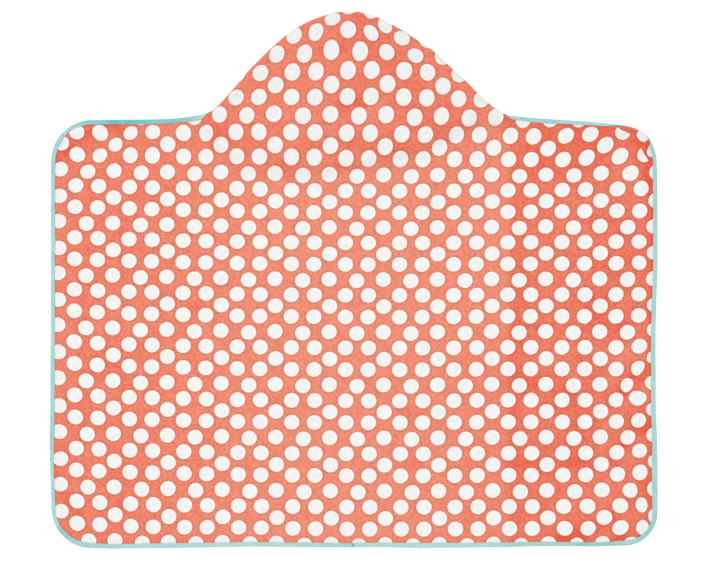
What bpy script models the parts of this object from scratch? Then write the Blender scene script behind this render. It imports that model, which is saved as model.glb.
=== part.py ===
"""A child's hooded towel, lying flat with its printed side up.

The back panel is one cut: a rectangle with rounded corners whose top edge rises into the
dome of the hood. The hood's front panel lies under the dome and is sewn to it along the
curve, so the two make a pocket, with its mouth towards the hem. A narrow tape binds the
edge of the back panel on each side of the hood, and the edge of the pocket's mouth.

The towel lies on z = 0 with the hood towards +Y. Lengths here are in millimetres, and
become metres when a mesh is made. A place on the edge is given by its distance along the
outline, run counter-clockwise from the middle of the hem.
"""

import math
from collections import namedtuple

import bmesh
import bpy
from mathutils import Vector
from mathutils.geometry import delaunay_2d_cdt, interpolate_bezier

MM = 0.001

# Cloth and tape
CLOTH = 2.0
TAPE = 1.0
TAPE_WIDTH = 7.0
SEAM_GAP = 0.3
HALF = CLOTH / 2
TAPE_REACH = SEAM_GAP + TAPE  # how far the tape stands past the cloth it wraps
HALF_STACK = HALF + TAPE_REACH

TAPE_END = 2.0  # from a base of the hood to the end of the tape there
SEAM_END = 9.0  # from a base of the hood to the end of the seam there
MOUTH_TAPE_INSET = 5.0  # from the seam to each end of the mouth's tape

# Hood and folds
FRONT_SLOPE = 24.0  # width over which the front panel rises to its bound edge
HOOD_RISE = 9.0  # of the panel over the floor, in the middle of the hood
MOUTH_RIDGE = 1.1  # more over the bound edge of the mouth
MOUTH_RIDGE_HALF_WIDTH = 18.0
HOOD_SLOPE = 30.0  # width of the slope from the floor up to the hood
PACKING_FOLD_X = 254.0
PACKING_FOLD_RISE = 1.6
PACKING_FOLD_HALF_WIDTH = 34.0

# Grid of the meshes
RIM_DEPTH = 40.0  # the edge strip's width, measured on the cloth
BEND_ROWS = (0.22, 0.48, 0.75, 1.0)  # shares of the bend beside the edge
SETTLE_ROWS = (0.3, 0.62, 1.0)  # shares of the cloth from the bend to the strip's end
CLEAR_OF_STRIP = 9.0  # least distance from the edge strip to a point inside it
SLOPE_ROWS = (0.0, 7.0, 14.0, 21.0, HOOD_SLOPE, 42.0, 58.0)
SLOPE_STEPS = 24
FOLD_ENDS = (-385.0, 215.0)
FOLD_STEPS = 8
FINEST_STEP = 2.0
COARSEST_STEP = 60.0
MOUTH_STEPS = 26
TURN_PER_STEP = math.radians(9)
TWIST_PER_STEP = 8.0
LIFT_PER_STEP = 1.0
SECTION_STEP = 0.25

Knot = namedtuple("Knot", "x y name heading", defaults=("", None))
Finish = namedtuple("Finish", "turn straight bend ease half lift")
Station = namedtuple("Station", "knot offset finish")


def corner(x, y, radius, start, count=4):
    """Knots round a quarter circle that begins at the angle start, in degrees."""
    knots = []
    for i in range(count):
        a = math.radians(start + 90 * i / (count - 1))
        heading = Vector((-math.sin(a), math.cos(a)))
        knots.append(Knot(x + radius * math.cos(a), y + radius * math.sin(a), "", heading))
    return knots


HEM_RIGHT = [
    Knot(0, -440.4, "hem_middle"),
    Knot(142, -440.6),
    Knot(254, -439.8, "fold"),
    Knot(345, -438.6),
]
RIGHT_SIDE = [
    Knot(500.5, -296),
    Knot(499.8, -252),
    Knot(498, -216),
    Knot(497.9, -160),
    Knot(497.4, -100),
    Knot(498.4, -38),
    Knot(500, 4),
    Knot(500.4, 90),
    Knot(500.2, 150),
    Knot(499.6, 184),
]
TOP_RIGHT_CORNER = [
    Knot(497.7, 208, "roll_begins"),
    Knot(493.6, 221.5),
    Knot(487, 232.6, "tape_out_of_sight"),
    Knot(477, 242.4),
    Knot(463.5, 249.8),
    Knot(443, 255.2, "tape_in_sight"),
    Knot(425, 257.6),
    Knot(400, 260.4, "roll_ends"),
]
TOP_RIGHT_EDGE = [
    Knot(350, 263.6),
    Knot(310, 266.4),
    Knot(280, 269),
    Knot(259, 271.8),
    Knot(245.5, 275.2, "right_base"),
]
DOME = [
    Knot(234, 282.2),
    Knot(223, 291.2),
    Knot(203.5, 309.6),
    Knot(184, 329.4),
    Knot(160, 351),
    Knot(133, 375.4),
    Knot(100, 397.8),
    Knot(66, 418.8),
    Knot(34, 433.8),
    Knot(4, 441.4),
    Knot(-20, 441.4),
    Knot(-46, 435.9),
    Knot(-74, 425),
    Knot(-102, 408.8),
    Knot(-126, 389.2),
    Knot(-150, 366.8),
    Knot(-173, 343),
    Knot(-195.6, 315.6),
    Knot(-213, 296.6),
    Knot(-224.5, 285.4),
]
TOP_LEFT_EDGE = [
    Knot(-235.5, 278, "left_base"),
    Knot(-248, 274.1),
    Knot(-263.5, 270.9),
    Knot(-285, 268),
    Knot(-335, 265.6),
    Knot(-385, 265.4),
]
LEFT_SIDE = [
    Knot(-499, 83),
    Knot(-498.8, -17),
    Knot(-499.2, -107),
    Knot(-499.8, -200),
    Knot(-500.5, -280),
    Knot(-499.8, -335),
]
HEM_LEFT = [Knot(-352, -441.8), Knot(-250, -440.8), Knot(-150, -439.8)]

OUTLINE = (
    HEM_RIGHT
    + corner(444.6, -382.6, 55.9, -90)
    + RIGHT_SIDE
    + TOP_RIGHT_CORNER
    + TOP_RIGHT_EDGE
    + DOME
    + TOP_LEFT_EDGE
    + corner(-429.8, 195.6, 69, 90)
    + LEFT_SIDE
    + corner(-430.6, -374.8, 67.5, 180)
    + HEM_LEFT
)

# The bound edge of the hood's front panel, between its ends on the seam, and the line where
# the panel over it meets the floor again. Both run from left to right.
MOUTH = [
    Knot(-216, 246),
    Knot(-194, 215),
    Knot(-152, 197),
    Knot(-90, 193),
    Knot(-25, 200),
    Knot(45, 212),
    Knot(110, 231),
    Knot(165, 250),
    Knot(206, 264),
]
HOOD_FOOT = [
    Knot(-262, 276),
    Knot(-247, 222),
    Knot(-212, 180),
    Knot(-160, 164),
    Knot(-100, 161),
    Knot(-31, 168),
    Knot(45, 179),
    Knot(118, 201),
    Knot(192, 236),
    Knot(264, 272),
]

# How the panel ends along its outline. turn: degrees that the edge is turned down, straight:
# cloth in a straight line at the edge, bend: cloth in the bend after it, ease: how much
# tighter the bend is near the edge, half: half the thickness at the edge with its tape,
# lift: height that the edge is held over the floor.
BOUND = Finish(turn=0, straight=6.5, bend=6.0, ease=1.0, half=HALF_STACK, lift=0.0)
ROLLED = BOUND._replace(turn=112, bend=5.5)
HALF_ROLLED = BOUND._replace(turn=84, bend=5.0)
TURNED_DOWN = BOUND._replace(turn=90, bend=5.0)
SEAM_OVER_TAPE = Finish(turn=90, straight=1.5, bend=10.5, ease=1.7, half=HALF, lift=4.9)
SEAM = Finish(turn=90, straight=1.5, bend=15.0, ease=2.0, half=HALF, lift=2.3)

EDGE = [
    Station("hem_middle", 0, BOUND),
    Station("roll_begins", 0, BOUND),
    Station("tape_out_of_sight", 0, HALF_ROLLED),
    Station("tape_out_of_sight", 14, ROLLED),
    Station("tape_in_sight", -14, ROLLED),
    Station("tape_in_sight", 0, HALF_ROLLED),
    Station("roll_ends", 0, BOUND),
    Station("right_base", -26, BOUND),
    Station("right_base", -TAPE_END, TURNED_DOWN),
    Station("right_base", 8, SEAM_OVER_TAPE),
    Station("right_base", 24, SEAM_OVER_TAPE),
    Station("right_base", 46, SEAM),
    Station("left_base", -46, SEAM),
    Station("left_base", -24, SEAM_OVER_TAPE),
    Station("left_base", -8, SEAM_OVER_TAPE),
    Station("left_base", TAPE_END, TURNED_DOWN),
    Station("left_base", 26, BOUND),
]


def smoothstep(t):
    t = min(max(t, 0.0), 1.0)
    return t * t * (3 - 2 * t)


def blend(a, b, t):
    return [x + (y - x) * t for x, y in zip(a, b, strict=True)]


class Line:
    """A smooth line through knots, looked up by distance along it."""

    PER_SPAN = 12

    def __init__(self, knots, closed=False):
        self.closed = closed
        places = [Vector((k.x, k.y)) for k in knots]
        spans = len(places) if closed else len(places) - 1
        slopes = [k.heading or self.slope(places, i) for i, k in enumerate(knots)]
        self.points = []
        for i in range(spans):
            a, b = places[i], places[(i + 1) % len(places)]
            third = (b - a).length / 3
            out, back = slopes[i] * third, slopes[(i + 1) % len(places)] * third
            run = interpolate_bezier(a, a + out, b - back, b, self.PER_SPAN + 1)
            self.points += [Vector(p[:2]) for p in run[:-1]]
        self.points.append(places[0 if closed else -1])
        self.distances = [0.0]
        for a, b in zip(self.points, self.points[1:]):
            self.distances.append(self.distances[-1] + (b - a).length)
        self.length = self.distances[-1]
        self.inward = [self.normal(i) for i in range(len(self.points))]
        self.named = {
            k.name: self.distances[i * self.PER_SPAN] for i, k in enumerate(knots) if k.name
        }

    def slope(self, places, i):
        """The direction at a knot: that of the shorter neighbouring span counts for more."""
        last = len(places) - 1
        before = places[i] - places[i - 1] if i or self.closed else None
        after = places[(i + 1) % len(places)] - places[i] if i < last or self.closed else None
        if before is None or after is None:
            return (before or after).normalized()
        weighted = before.normalized() * after.length + after.normalized() * before.length
        return weighted / (before.length + after.length)

    def normal(self, i):
        last = len(self.points) - 1
        if self.closed:
            before, after = self.points[i - 1 if i else last - 1], self.points[(i + 1) % last]
        else:
            before, after = self.points[max(i - 1, 0)], self.points[min(i + 1, last)]
        along = (after - before).normalized()
        return Vector((-along.y, along.x))

    def at(self, distance):
        """The point at a distance along the line, and the direction to the left of it."""
        if self.closed:
            distance %= self.length
        low, high = 0, len(self.points) - 1
        while high - low > 1:
            middle = (low + high) // 2
            if self.distances[middle] <= distance:
                low = middle
            else:
                high = middle
        span = self.distances[high] - self.distances[low]
        t = (distance - self.distances[low]) / span
        point = self.points[low].lerp(self.points[high], t)
        return point, self.inward[low].lerp(self.inward[high], t).normalized()

    def nearest(self, point):
        """How far a point is from the line."""
        best = math.inf
        for a, b in zip(self.points, self.points[1:]):
            along = b - a
            t = min(max((point - a).dot(along) / along.length_squared, 0.0), 1.0)
            best = min(best, (point - a - along * t).length)
        return best

    def height_at(self, x):
        """The line's y at an x, for a line that runs from left to right."""
        for a, b in zip(self.points, self.points[1:]):
            if a.x <= x <= b.x:
                return a.y + (b.y - a.y) * (x - a.x) / (b.x - a.x)
        return math.inf


outline = Line(OUTLINE, closed=True)
seam_start = outline.named["right_base"] + SEAM_END
seam_end = outline.named["left_base"] - SEAM_END
mouth = Line([Knot(*outline.at(seam_end)[0]), *MOUTH, Knot(*outline.at(seam_start)[0])])
hood_foot = Line(HOOD_FOOT)


def hood_rise(x, y):
    """How far the back panel stands off the floor because of the hood's front panel."""
    if y < hood_foot.height_at(x):
        return 0.0
    inside = hood_foot.nearest(Vector((x, y)))
    ridge = ((inside - HOOD_SLOPE) / MOUTH_RIDGE_HALF_WIDTH) ** 2
    top = HOOD_RISE + MOUTH_RIDGE * math.exp(-ridge)
    return top * smoothstep(inside / HOOD_SLOPE)


def panel_height(x, y):
    """The height of the middle of the back panel's cloth, away from its edge."""
    across = abs(x - PACKING_FOLD_X) / PACKING_FOLD_HALF_WIDTH
    fold = PACKING_FOLD_RISE * (1 - smoothstep(across))
    return HALF + max(fold, hood_rise(x, y))


def finish_at(distance):
    """How the panel ends at a distance along its outline."""
    rows = [(outline.named[s.knot] + s.offset, s.finish) for s in EDGE]
    rows.append((outline.length, EDGE[0].finish))
    distance %= outline.length
    for (start, a), (end, b) in zip(rows, rows[1:]):
        if distance <= end:
            return Finish(*blend(a, b, smoothstep((distance - start) / (end - start))))
    return EDGE[0].finish


def section_of(finish):
    """The edge strip in section, as (distance from the cut edge, inward, up, lean) rows."""
    turn = math.radians(finish.turn)
    reach = finish.half - HALF

    def lean(d):
        if d <= finish.straight:
            return turn
        left = max(1 - (d - finish.straight) / finish.bend, 0)
        return turn * left**finish.ease

    inward = 0.0
    up = finish.half * abs(math.cos(turn)) + reach * math.sin(turn) + finish.lift
    rows = [(0.0, inward, up, turn)]
    for i in range(round(RIM_DEPTH / SECTION_STEP)):
        middle = lean((i + 0.5) * SECTION_STEP)
        inward += math.cos(middle) * SECTION_STEP
        up += math.sin(middle) * SECTION_STEP
        rows.append(((i + 1) * SECTION_STEP, inward, up, lean((i + 1) * SECTION_STEP)))
    ends = (-reach, TAPE_WIDTH - TAPE_REACH if reach > 0 else 0.0)
    outermost = min(end * math.cos(turn) - finish.half * math.sin(turn) for end in ends)
    outermost = min(outermost, min(q - HALF * math.sin(a) for _, q, _, a in rows))
    return [(d, q - outermost, z, a) for d, q, z, a in rows]


class Edge:
    """The back panel's edge strip at one place along the outline."""

    def __init__(self, distance):
        self.foot, self.inward = outline.at(distance)
        self.finish = finish_at(distance)
        self.section = section_of(self.finish)
        _, depth, height, _ = self.section[-1]
        inner = self.foot + self.inward * depth
        self.settle = panel_height(inner.x, inner.y) - height

    def depths(self):
        """How far inside the cut edge the rows of the edge strip are."""
        held = self.finish.straight + self.finish.bend
        bend = [self.finish.straight + self.finish.bend * share for share in BEND_ROWS]
        rest = [held + (RIM_DEPTH - held) * share for share in SETTLE_ROWS]
        return [0.0, self.finish.straight, *bend, *rest]

    def point(self, d, h=0.0):
        """A point d inside the cut edge, measured on the cloth, and h above its middle."""
        inside = min(max(d, 0.0), RIM_DEPTH)
        _, q, z, lean = self.section[round(inside / SECTION_STEP)]
        q += (d - inside) * math.cos(lean) - h * math.sin(lean)
        z += (d - inside) * math.sin(lean) + h * math.cos(lean)
        held = self.finish.straight + self.finish.bend
        z += self.settle * smoothstep((inside - held) / (RIM_DEPTH - held))
        place = self.foot + self.inward * q
        return Vector((place.x, place.y, z)) * MM


def stations(start, end):
    """Distances from start to end: close together where the outline or its finish turns."""
    folds = [outline.named["fold"] + PACKING_FOLD_HALF_WIDTH * i / 2 for i in range(-2, 3)]
    marks = sorted([outline.named[s.knot] + s.offset for s in EDGE] + folds)
    found = [start]
    while found[-1] < end:
        here = found[-1]
        step = COARSEST_STEP
        while step > FINEST_STEP:
            _, before = outline.at(here)
            _, after = outline.at(min(here + step, end))
            turned = before.angle(after)
            changed = abs(finish_at(here + step).turn - finish_at(here).turn)
            slid = abs(finish_at(here + step).lift - finish_at(here).lift)
            if turned < TURN_PER_STEP and changed < TWIST_PER_STEP and slid < LIFT_PER_STEP:
                break
            step *= 0.8
        ahead = [m for m in marks if here + 0.3 * step < m < here + step]
        found.append(ahead[0] if ahead else here + step)
    if len(found) > 2 and found[-1] - end > 0.5 * (found[-1] - found[-2]):
        found.pop()
    found[-1] = end
    return found


def material(name, colour, roughness):
    made = bpy.data.materials.new(name)
    made.use_nodes = True
    shader = made.node_tree.nodes["Principled BSDF"]
    shader.inputs["Base Color"].default_value = (*colour, 1)
    shader.inputs["Roughness"].default_value = roughness
    shader.inputs["Metallic"].default_value = 0
    return made


def add_object(name, mesh_builder, colour, roughness):
    mesh = bpy.data.meshes.new(name)
    mesh_builder.to_mesh(mesh)
    mesh_builder.free()
    mesh.shade_smooth()
    made = bpy.data.objects.new(name, mesh)
    made.data.materials.append(material(name, colour, roughness))
    towel.objects.link(made)
    return made


def strip(bm, outer, inner):
    """Triangles between two rings of vertices, all split the same way."""
    for i in range(len(outer)):
        j = (i + 1) % len(outer)
        bm.faces.new((outer[i], outer[j], inner[j]))
        bm.faces.new((outer[i], inner[j], inner[i]))


def fill(bm, border, inner_points, height):
    """Fills a closed border of vertices with triangles that also meet the inner points."""
    inner = [bm.verts.new((p.x * MM, p.y * MM, height(p.x, p.y) * MM)) for p in inner_points]
    verts = border + inner
    flat = [Vector(v.co[:2]) for v in verts]
    loop = [(i, (i + 1) % len(border)) for i in range(len(border))]
    _, _, faces, origins, *_ = delaunay_2d_cdt(flat, loop, [], 1, 1e-7)
    for face in faces:
        bm.faces.new([verts[origins[i][0]] for i in face])


def cloth(name, rings, inner_points, height):
    """A panel of cloth: rings(h) gives its rings from the cut edge inwards, h above its middle."""
    bm = bmesh.new()
    cut_edges = []
    for h in (HALF, -HALF):
        loops = [[bm.verts.new(p) for p in ring] for ring in rings(h)]
        for outer, inner in zip(loops, loops[1:]):
            strip(bm, outer, inner)
        fill(bm, loops[-1], inner_points, lambda x, y: height(x, y) + h)
        cut_edges.append(loops[0])
    strip(bm, *cut_edges)
    bmesh.ops.recalc_face_normals(bm, faces=bm.faces)
    add_object(name, bm, CORAL, 0.9)


def signed_inside(point, border):
    """How far a point is inside a closed border, negative outside it."""
    best, within = math.inf, False
    for a, b in zip(border, border[1:] + border[:1]):
        along = b - a
        t = min(max((point - a).dot(along) / along.length_squared, 0.0), 1.0)
        best = min(best, (point - a - along * t).length)
        if (a.y > point.y) != (b.y > point.y):
            crossing = a.x + (point.y - a.y) * along.x / along.y
            within ^= point.x < crossing
    return best if within else -best


def back_panel():
    edges = [Edge(s) for s in stations(0.0, outline.length)[:-1]]
    depths = [e.depths() for e in edges]

    def rings(h):
        return [[e.point(d[k], h) for e, d in zip(edges, depths)] for k in range(len(depths[0]))]

    border = [Vector(p[:2]) / MM for p in rings(0.0)[-1]]

    slope = []
    for depth in SLOPE_ROWS:
        for i in range(SLOPE_STEPS + 1):
            point, inward = hood_foot.at(hood_foot.length * i / SLOPE_STEPS)
            slope.append(point + inward * depth)
    fold = []
    for i in range(-2, 3):
        for j in range(FOLD_STEPS + 1):
            y = FOLD_ENDS[0] + (FOLD_ENDS[1] - FOLD_ENDS[0]) * j / FOLD_STEPS
            fold.append(Vector((PACKING_FOLD_X + PACKING_FOLD_HALF_WIDTH * i / 2, y)))
    inner = [p for p in slope if signed_inside(p, border) > CLEAR_OF_STRIP]
    inner += [p for p in fold if p.y < hood_foot.height_at(p.x) - CLEAR_OF_STRIP]
    cloth("back_panel", rings, inner, panel_height)


def mouth_stations():
    """Distances along the mouth of the rings of its tape."""
    run = mouth.length - 2 * MOUTH_TAPE_INSET
    return [MOUTH_TAPE_INSET + run * i / MOUTH_STEPS for i in range(MOUTH_STEPS + 1)]


def along_mouth(depth):
    found = [mouth.at(s) for s in mouth_stations()]
    return [point + inward * depth for point, inward in found]


def hood_front():
    """The panel under the dome: flat, and lifted a little where its mouth is bound."""
    between = [s for s in stations(0.0, outline.length) if seam_start + 1 < s < seam_end - 1]
    dome = [outline.at(s)[0] for s in [seam_start, *between, seam_end]]
    border = dome + along_mouth(TAPE_REACH)

    def height(x, y):
        depth = mouth.nearest(Vector((x, y)))
        return HALF + (HALF_STACK - HALF) * (1 - smoothstep((depth - TAPE_WIDTH) / FRONT_SLOPE))

    def rings(h):
        return [[Vector((p.x, p.y, height(p.x, p.y) + h)) * MM for p in border]]

    rows = [along_mouth(TAPE_WIDTH + FRONT_SLOPE * share) for share in (0.05, 0.35, 0.65, 1.0)]
    inner = [p for row in rows for p in row if signed_inside(p, border) > TAPE_WIDTH - 1]
    cloth("hood_front", rings, inner, height)


def tape_profile():
    """The tape in section, as (inside the cut edge, above the cloth's middle) points."""
    wing = TAPE_WIDTH - TAPE_REACH
    outer = [(wing, HALF_STACK), (0.9, HALF_STACK), (-0.7, 0.7 * HALF_STACK)]
    outer.append((-TAPE_REACH, 0.25 * HALF_STACK))
    inner = [(-SEAM_GAP, HALF + SEAM_GAP), (wing, HALF + SEAM_GAP)]
    top = outer + [(d, -h) for d, h in reversed(outer)]
    return top + [(d, -h) for d, h in reversed(inner)] + inner


def sweep(name, rings):
    """The tape through rings of its section, its faces split as the cloth's inside it are."""
    bm = bmesh.new()
    depths = [d for d, _ in tape_profile()]
    loops = [[bm.verts.new(p) for p in ring] for ring in rings]
    for a, b in zip(loops, loops[1:]):
        for i in range(len(a)):
            j = (i + 1) % len(a)
            if depths[j] < depths[i]:
                i, j = j, i
            bm.faces.new((a[i], b[j], b[i]))
            bm.faces.new((a[i], a[j], b[j]))
    bm.faces.new(loops[0])
    bm.faces.new(reversed(loops[-1]))
    bmesh.ops.recalc_face_normals(bm, faces=bm.faces)
    add_object(name, bm, MINT, 0.6)


def edge_tape(name, start, end):
    between = [s for s in stations(0.0, outline.length) if start + 1 < s < end - 1]
    profile = tape_profile()
    sweep(name, [[Edge(s).point(d, h) for d, h in profile] for s in [start, *between, end]])


def mouth_tape():
    rings = []
    for s in mouth_stations():
        point, inward = mouth.at(s)
        ring = []
        for d, h in tape_profile():
            place = point + inward * (d + TAPE_REACH)
            ring.append(Vector((place.x, place.y, HALF_STACK + h)) * MM)
        rings.append(ring)
    sweep("binding_hood", rings)


CORAL = (0.86, 0.24, 0.15)
MINT = (0.42, 0.67, 0.66)

for old in list(bpy.data.objects):
    bpy.data.objects.remove(old, do_unlink=True)
towel = bpy.data.collections.new("hooded_towel")
bpy.context.scene.collection.children.link(towel)

back_panel()
hood_front()
edge_tape("binding_right", SEAM_GAP / 2, outline.named["right_base"] - TAPE_END)
edge_tape("binding_left", outline.named["left_base"] + TAPE_END, outline.length - SEAM_GAP / 2)
mouth_tape()
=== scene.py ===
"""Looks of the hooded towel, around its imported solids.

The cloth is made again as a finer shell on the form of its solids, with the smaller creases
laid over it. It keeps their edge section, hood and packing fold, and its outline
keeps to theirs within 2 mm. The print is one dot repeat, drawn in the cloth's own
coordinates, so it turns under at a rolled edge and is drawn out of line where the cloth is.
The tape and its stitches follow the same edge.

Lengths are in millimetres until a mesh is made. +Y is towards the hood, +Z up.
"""

import math
from collections import namedtuple

import bpy
import numpy as np
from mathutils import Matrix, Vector
from mathutils.geometry import delaunay_2d_cdt, interpolate_bezier


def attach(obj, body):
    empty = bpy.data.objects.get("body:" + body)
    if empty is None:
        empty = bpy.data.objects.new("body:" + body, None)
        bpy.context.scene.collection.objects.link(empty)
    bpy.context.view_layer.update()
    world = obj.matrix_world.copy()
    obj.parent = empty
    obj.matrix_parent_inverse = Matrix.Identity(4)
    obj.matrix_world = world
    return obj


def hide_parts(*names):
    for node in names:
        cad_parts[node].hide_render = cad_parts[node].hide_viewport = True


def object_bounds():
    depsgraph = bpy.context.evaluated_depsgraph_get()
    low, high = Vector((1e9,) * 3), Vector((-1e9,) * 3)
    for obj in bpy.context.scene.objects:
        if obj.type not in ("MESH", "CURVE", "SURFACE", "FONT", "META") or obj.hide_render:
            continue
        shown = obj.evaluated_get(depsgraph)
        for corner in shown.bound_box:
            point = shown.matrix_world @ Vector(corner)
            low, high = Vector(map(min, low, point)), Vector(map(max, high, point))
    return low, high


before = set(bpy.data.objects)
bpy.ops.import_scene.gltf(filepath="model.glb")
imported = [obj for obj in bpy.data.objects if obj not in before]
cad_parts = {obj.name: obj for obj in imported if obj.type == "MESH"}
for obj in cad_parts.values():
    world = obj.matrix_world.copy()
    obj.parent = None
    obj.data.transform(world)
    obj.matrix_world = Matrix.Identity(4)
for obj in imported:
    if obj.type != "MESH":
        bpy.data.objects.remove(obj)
cad_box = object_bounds()

MM = 0.001

# ---- form of the solids

CLOTH = 2.0
TAPE = 1.0
TAPE_WIDTH = 7.0
SEAM_GAP = 0.3
HALF = CLOTH / 2
TAPE_REACH = SEAM_GAP + TAPE  # how far the tape stands past the cloth it wraps
WING = TAPE_WIDTH - TAPE_REACH  # how far it lies over the cloth
HALF_STACK = HALF + TAPE_REACH
TAPE_END = 2.0  # from a base of the hood to the end of the tape there
SEAM_END = 9.0  # from a base of the hood to the end of the seam there
MOUTH_TAPE_INSET = 5.0

FRONT_SLOPE = 24.0  # width over which the front panel rises to its bound edge
HOOD_RISE = 9.0
MOUTH_RIDGE = 1.1
MOUTH_RIDGE_HALF_WIDTH = 18.0
HOOD_SLOPE = 30.0
PACKING_FOLD_X = 254.0
PACKING_FOLD_RISE = 1.6
PACKING_FOLD_HALF_WIDTH = 34.0
RIM_DEPTH = 40.0  # the edge strip's width, measured on the cloth
SECTION_STEP = 0.25

Knot = namedtuple("Knot", "x y name heading", defaults=("", None))
Finish = namedtuple("Finish", "turn straight bend ease half lift")
Station = namedtuple("Station", "knot offset finish")


def table(kind, *rows):
    """Rows of a table, as the named tuple whose fields name its columns."""
    return [kind(*row) for row in rows]


def corner(x, y, radius, start, count=4):
    """Knots round a quarter circle that begins at the angle start, in degrees."""
    knots = []
    for i in range(count):
        a = math.radians(start + 90 * i / (count - 1))
        heading = Vector((-math.sin(a), math.cos(a)))
        knots.append(Knot(x + radius * math.cos(a), y + radius * math.sin(a), "", heading))
    return knots


HEM_RIGHT = table(
    Knot,
    (0, -439.8, "hem_middle"), (40, -439.5), (100, -440.7), (142, -440.5), (254, -439.3),
    (300, -437.9), (345, -437.8), (400, -438.1),
)
RIGHT_SIDE = table(
    Knot,
    (500, -296), (499, -252), (497.4, -216), (497.2, -160), (496.8, -100), (498, -38),
    (499.6, 4), (500, 90), (499.8, 150), (499.3, 184),
)
TOP_RIGHT_CORNER = table(
    Knot,
    (497.3, 208, "roll_begins"), (493.4, 221.4), (487, 232.6, "tape_out_of_sight"),
    (477, 242.4), (463.5, 249.8), (443, 255.2, "tape_in_sight"), (425, 257.6),
    (400, 259.8, "roll_ends"),
)
TOP_RIGHT_EDGE = table(
    Knot,
    (350, 263.3), (310, 265.9), (280, 268.5), (259, 271.4), (245.5, 275.2, "right_base"),
)
DOME = table(
    Knot,
    (233.6, 281.7), (222.5, 290.6), (203.1, 309.2), (183.5, 328.9), (159.7, 350.6),
    (133.1, 375.6), (100.2, 398.2), (66.2, 419.2), (34.2, 434.4), (4.1, 441.9), (-20, 441.8),
    (-46.1, 436.2), (-74.3, 425.7), (-102.5, 409.5), (-126.7, 390), (-150.6, 367.4),
    (-173.8, 343.7), (-196.6, 316.4), (-213.6, 297.2), (-224.7, 285.6),
)
TOP_LEFT_EDGE = table(
    Knot,
    (-235.5, 278, "left_base"), (-248, 273.7), (-263.5, 270.2), (-285, 267), (-335, 264.5),
    (-385, 264),
)
LEFT_SIDE = table(
    Knot,
    (-498.5, 83), (-498.5, -17), (-498.9, -107), (-499.4, -200), (-500.4, -280), (-498.9, -335),
)
HEM_LEFT = table(
    Knot,
    (-398, -441.9), (-352, -441.3), (-250, -440.1), (-185, -438.9), (-150, -438.7),
    (-110, -439.2),
)
OUTLINE = [
    *HEM_RIGHT,
    *corner(445.3, -382.2, 54.8, -90),
    *RIGHT_SIDE,
    *TOP_RIGHT_CORNER,
    *TOP_RIGHT_EDGE,
    *DOME,
    *TOP_LEFT_EDGE,
    *corner(-430.4, 195.8, 67.8, 90),
    *LEFT_SIDE,
    *corner(-431.2, -374.8, 66.4, 180),
    *HEM_LEFT,
]

# The bound edge of the hood's front panel, and the line where the panel over it meets the
# floor again. Both run from left to right.
MOUTH = table(
    Knot,
    (-216, 246), (-194, 215), (-152, 197), (-90, 193), (-25, 200), (45, 212), (110, 231),
    (165, 250), (206, 264),
)
HOOD_FOOT = table(
    Knot,
    (-262, 276), (-247, 222), (-212, 180), (-160, 164), (-100, 161), (-31, 168), (45, 179),
    (118, 201), (192, 236), (264, 272),
)

# turn: degrees that the edge is turned down, straight: cloth in a straight line at the edge,
# bend: cloth in the bend after it, ease: how much tighter the bend is near the edge,
# half: half the thickness at the edge with its tape, lift: height that the edge is held at.
BOUND = Finish(turn=0, straight=6.5, bend=6.0, ease=1.0, half=HALF_STACK, lift=0.0)
ROLLED = BOUND._replace(turn=112, bend=5.5)
HALF_ROLLED = BOUND._replace(turn=84, bend=5.0)
TURNED_DOWN = BOUND._replace(turn=90, bend=5.0)
SEAM_OVER_TAPE = Finish(turn=90, straight=1.5, bend=10.5, ease=1.7, half=HALF, lift=4.9)
SEAM = Finish(turn=90, straight=1.5, bend=15.0, ease=2.0, half=HALF, lift=2.3)

EDGE = table(
    Station,
    ("hem_middle", 0, BOUND),
    ("roll_begins", 0, BOUND),
    ("tape_out_of_sight", 0, HALF_ROLLED),
    ("tape_out_of_sight", 14, ROLLED),
    ("tape_in_sight", -14, ROLLED),
    ("tape_in_sight", 0, HALF_ROLLED),
    ("roll_ends", 0, BOUND),
    ("right_base", -26, BOUND),
    ("right_base", -TAPE_END, TURNED_DOWN),
    ("right_base", 8, SEAM_OVER_TAPE),
    ("right_base", 24, SEAM_OVER_TAPE),
    ("right_base", 46, SEAM),
    ("left_base", -46, SEAM),
    ("left_base", -24, SEAM_OVER_TAPE),
    ("left_base", -8, SEAM_OVER_TAPE),
    ("left_base", TAPE_END, TURNED_DOWN),
    ("left_base", 26, BOUND),
)


def smoothstep(t):
    t = np.clip(t, 0.0, 1.0)
    return t * t * (3 - 2 * t)


def rising(value, start, width):
    """0 up to a start, 1 from a width beyond it, and smooth between them."""
    return smoothstep((value - start) / width)


def bell(t):
    """1 at 0, falling off smoothly to both sides."""
    return np.exp(-(t**2))


def unit(v):
    return v / np.linalg.norm(v, axis=-1, keepdims=True)


def from_spans(points, places):
    """For each span of a line through points: how far places are from it, and where along it."""
    for a, b in zip(points, points[1:]):
        along = b - a
        share = np.clip((places - a) @ along / (along @ along), 0.0, 1.0)
        yield np.linalg.norm(places - a - share[:, None] * along, axis=1), share


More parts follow.
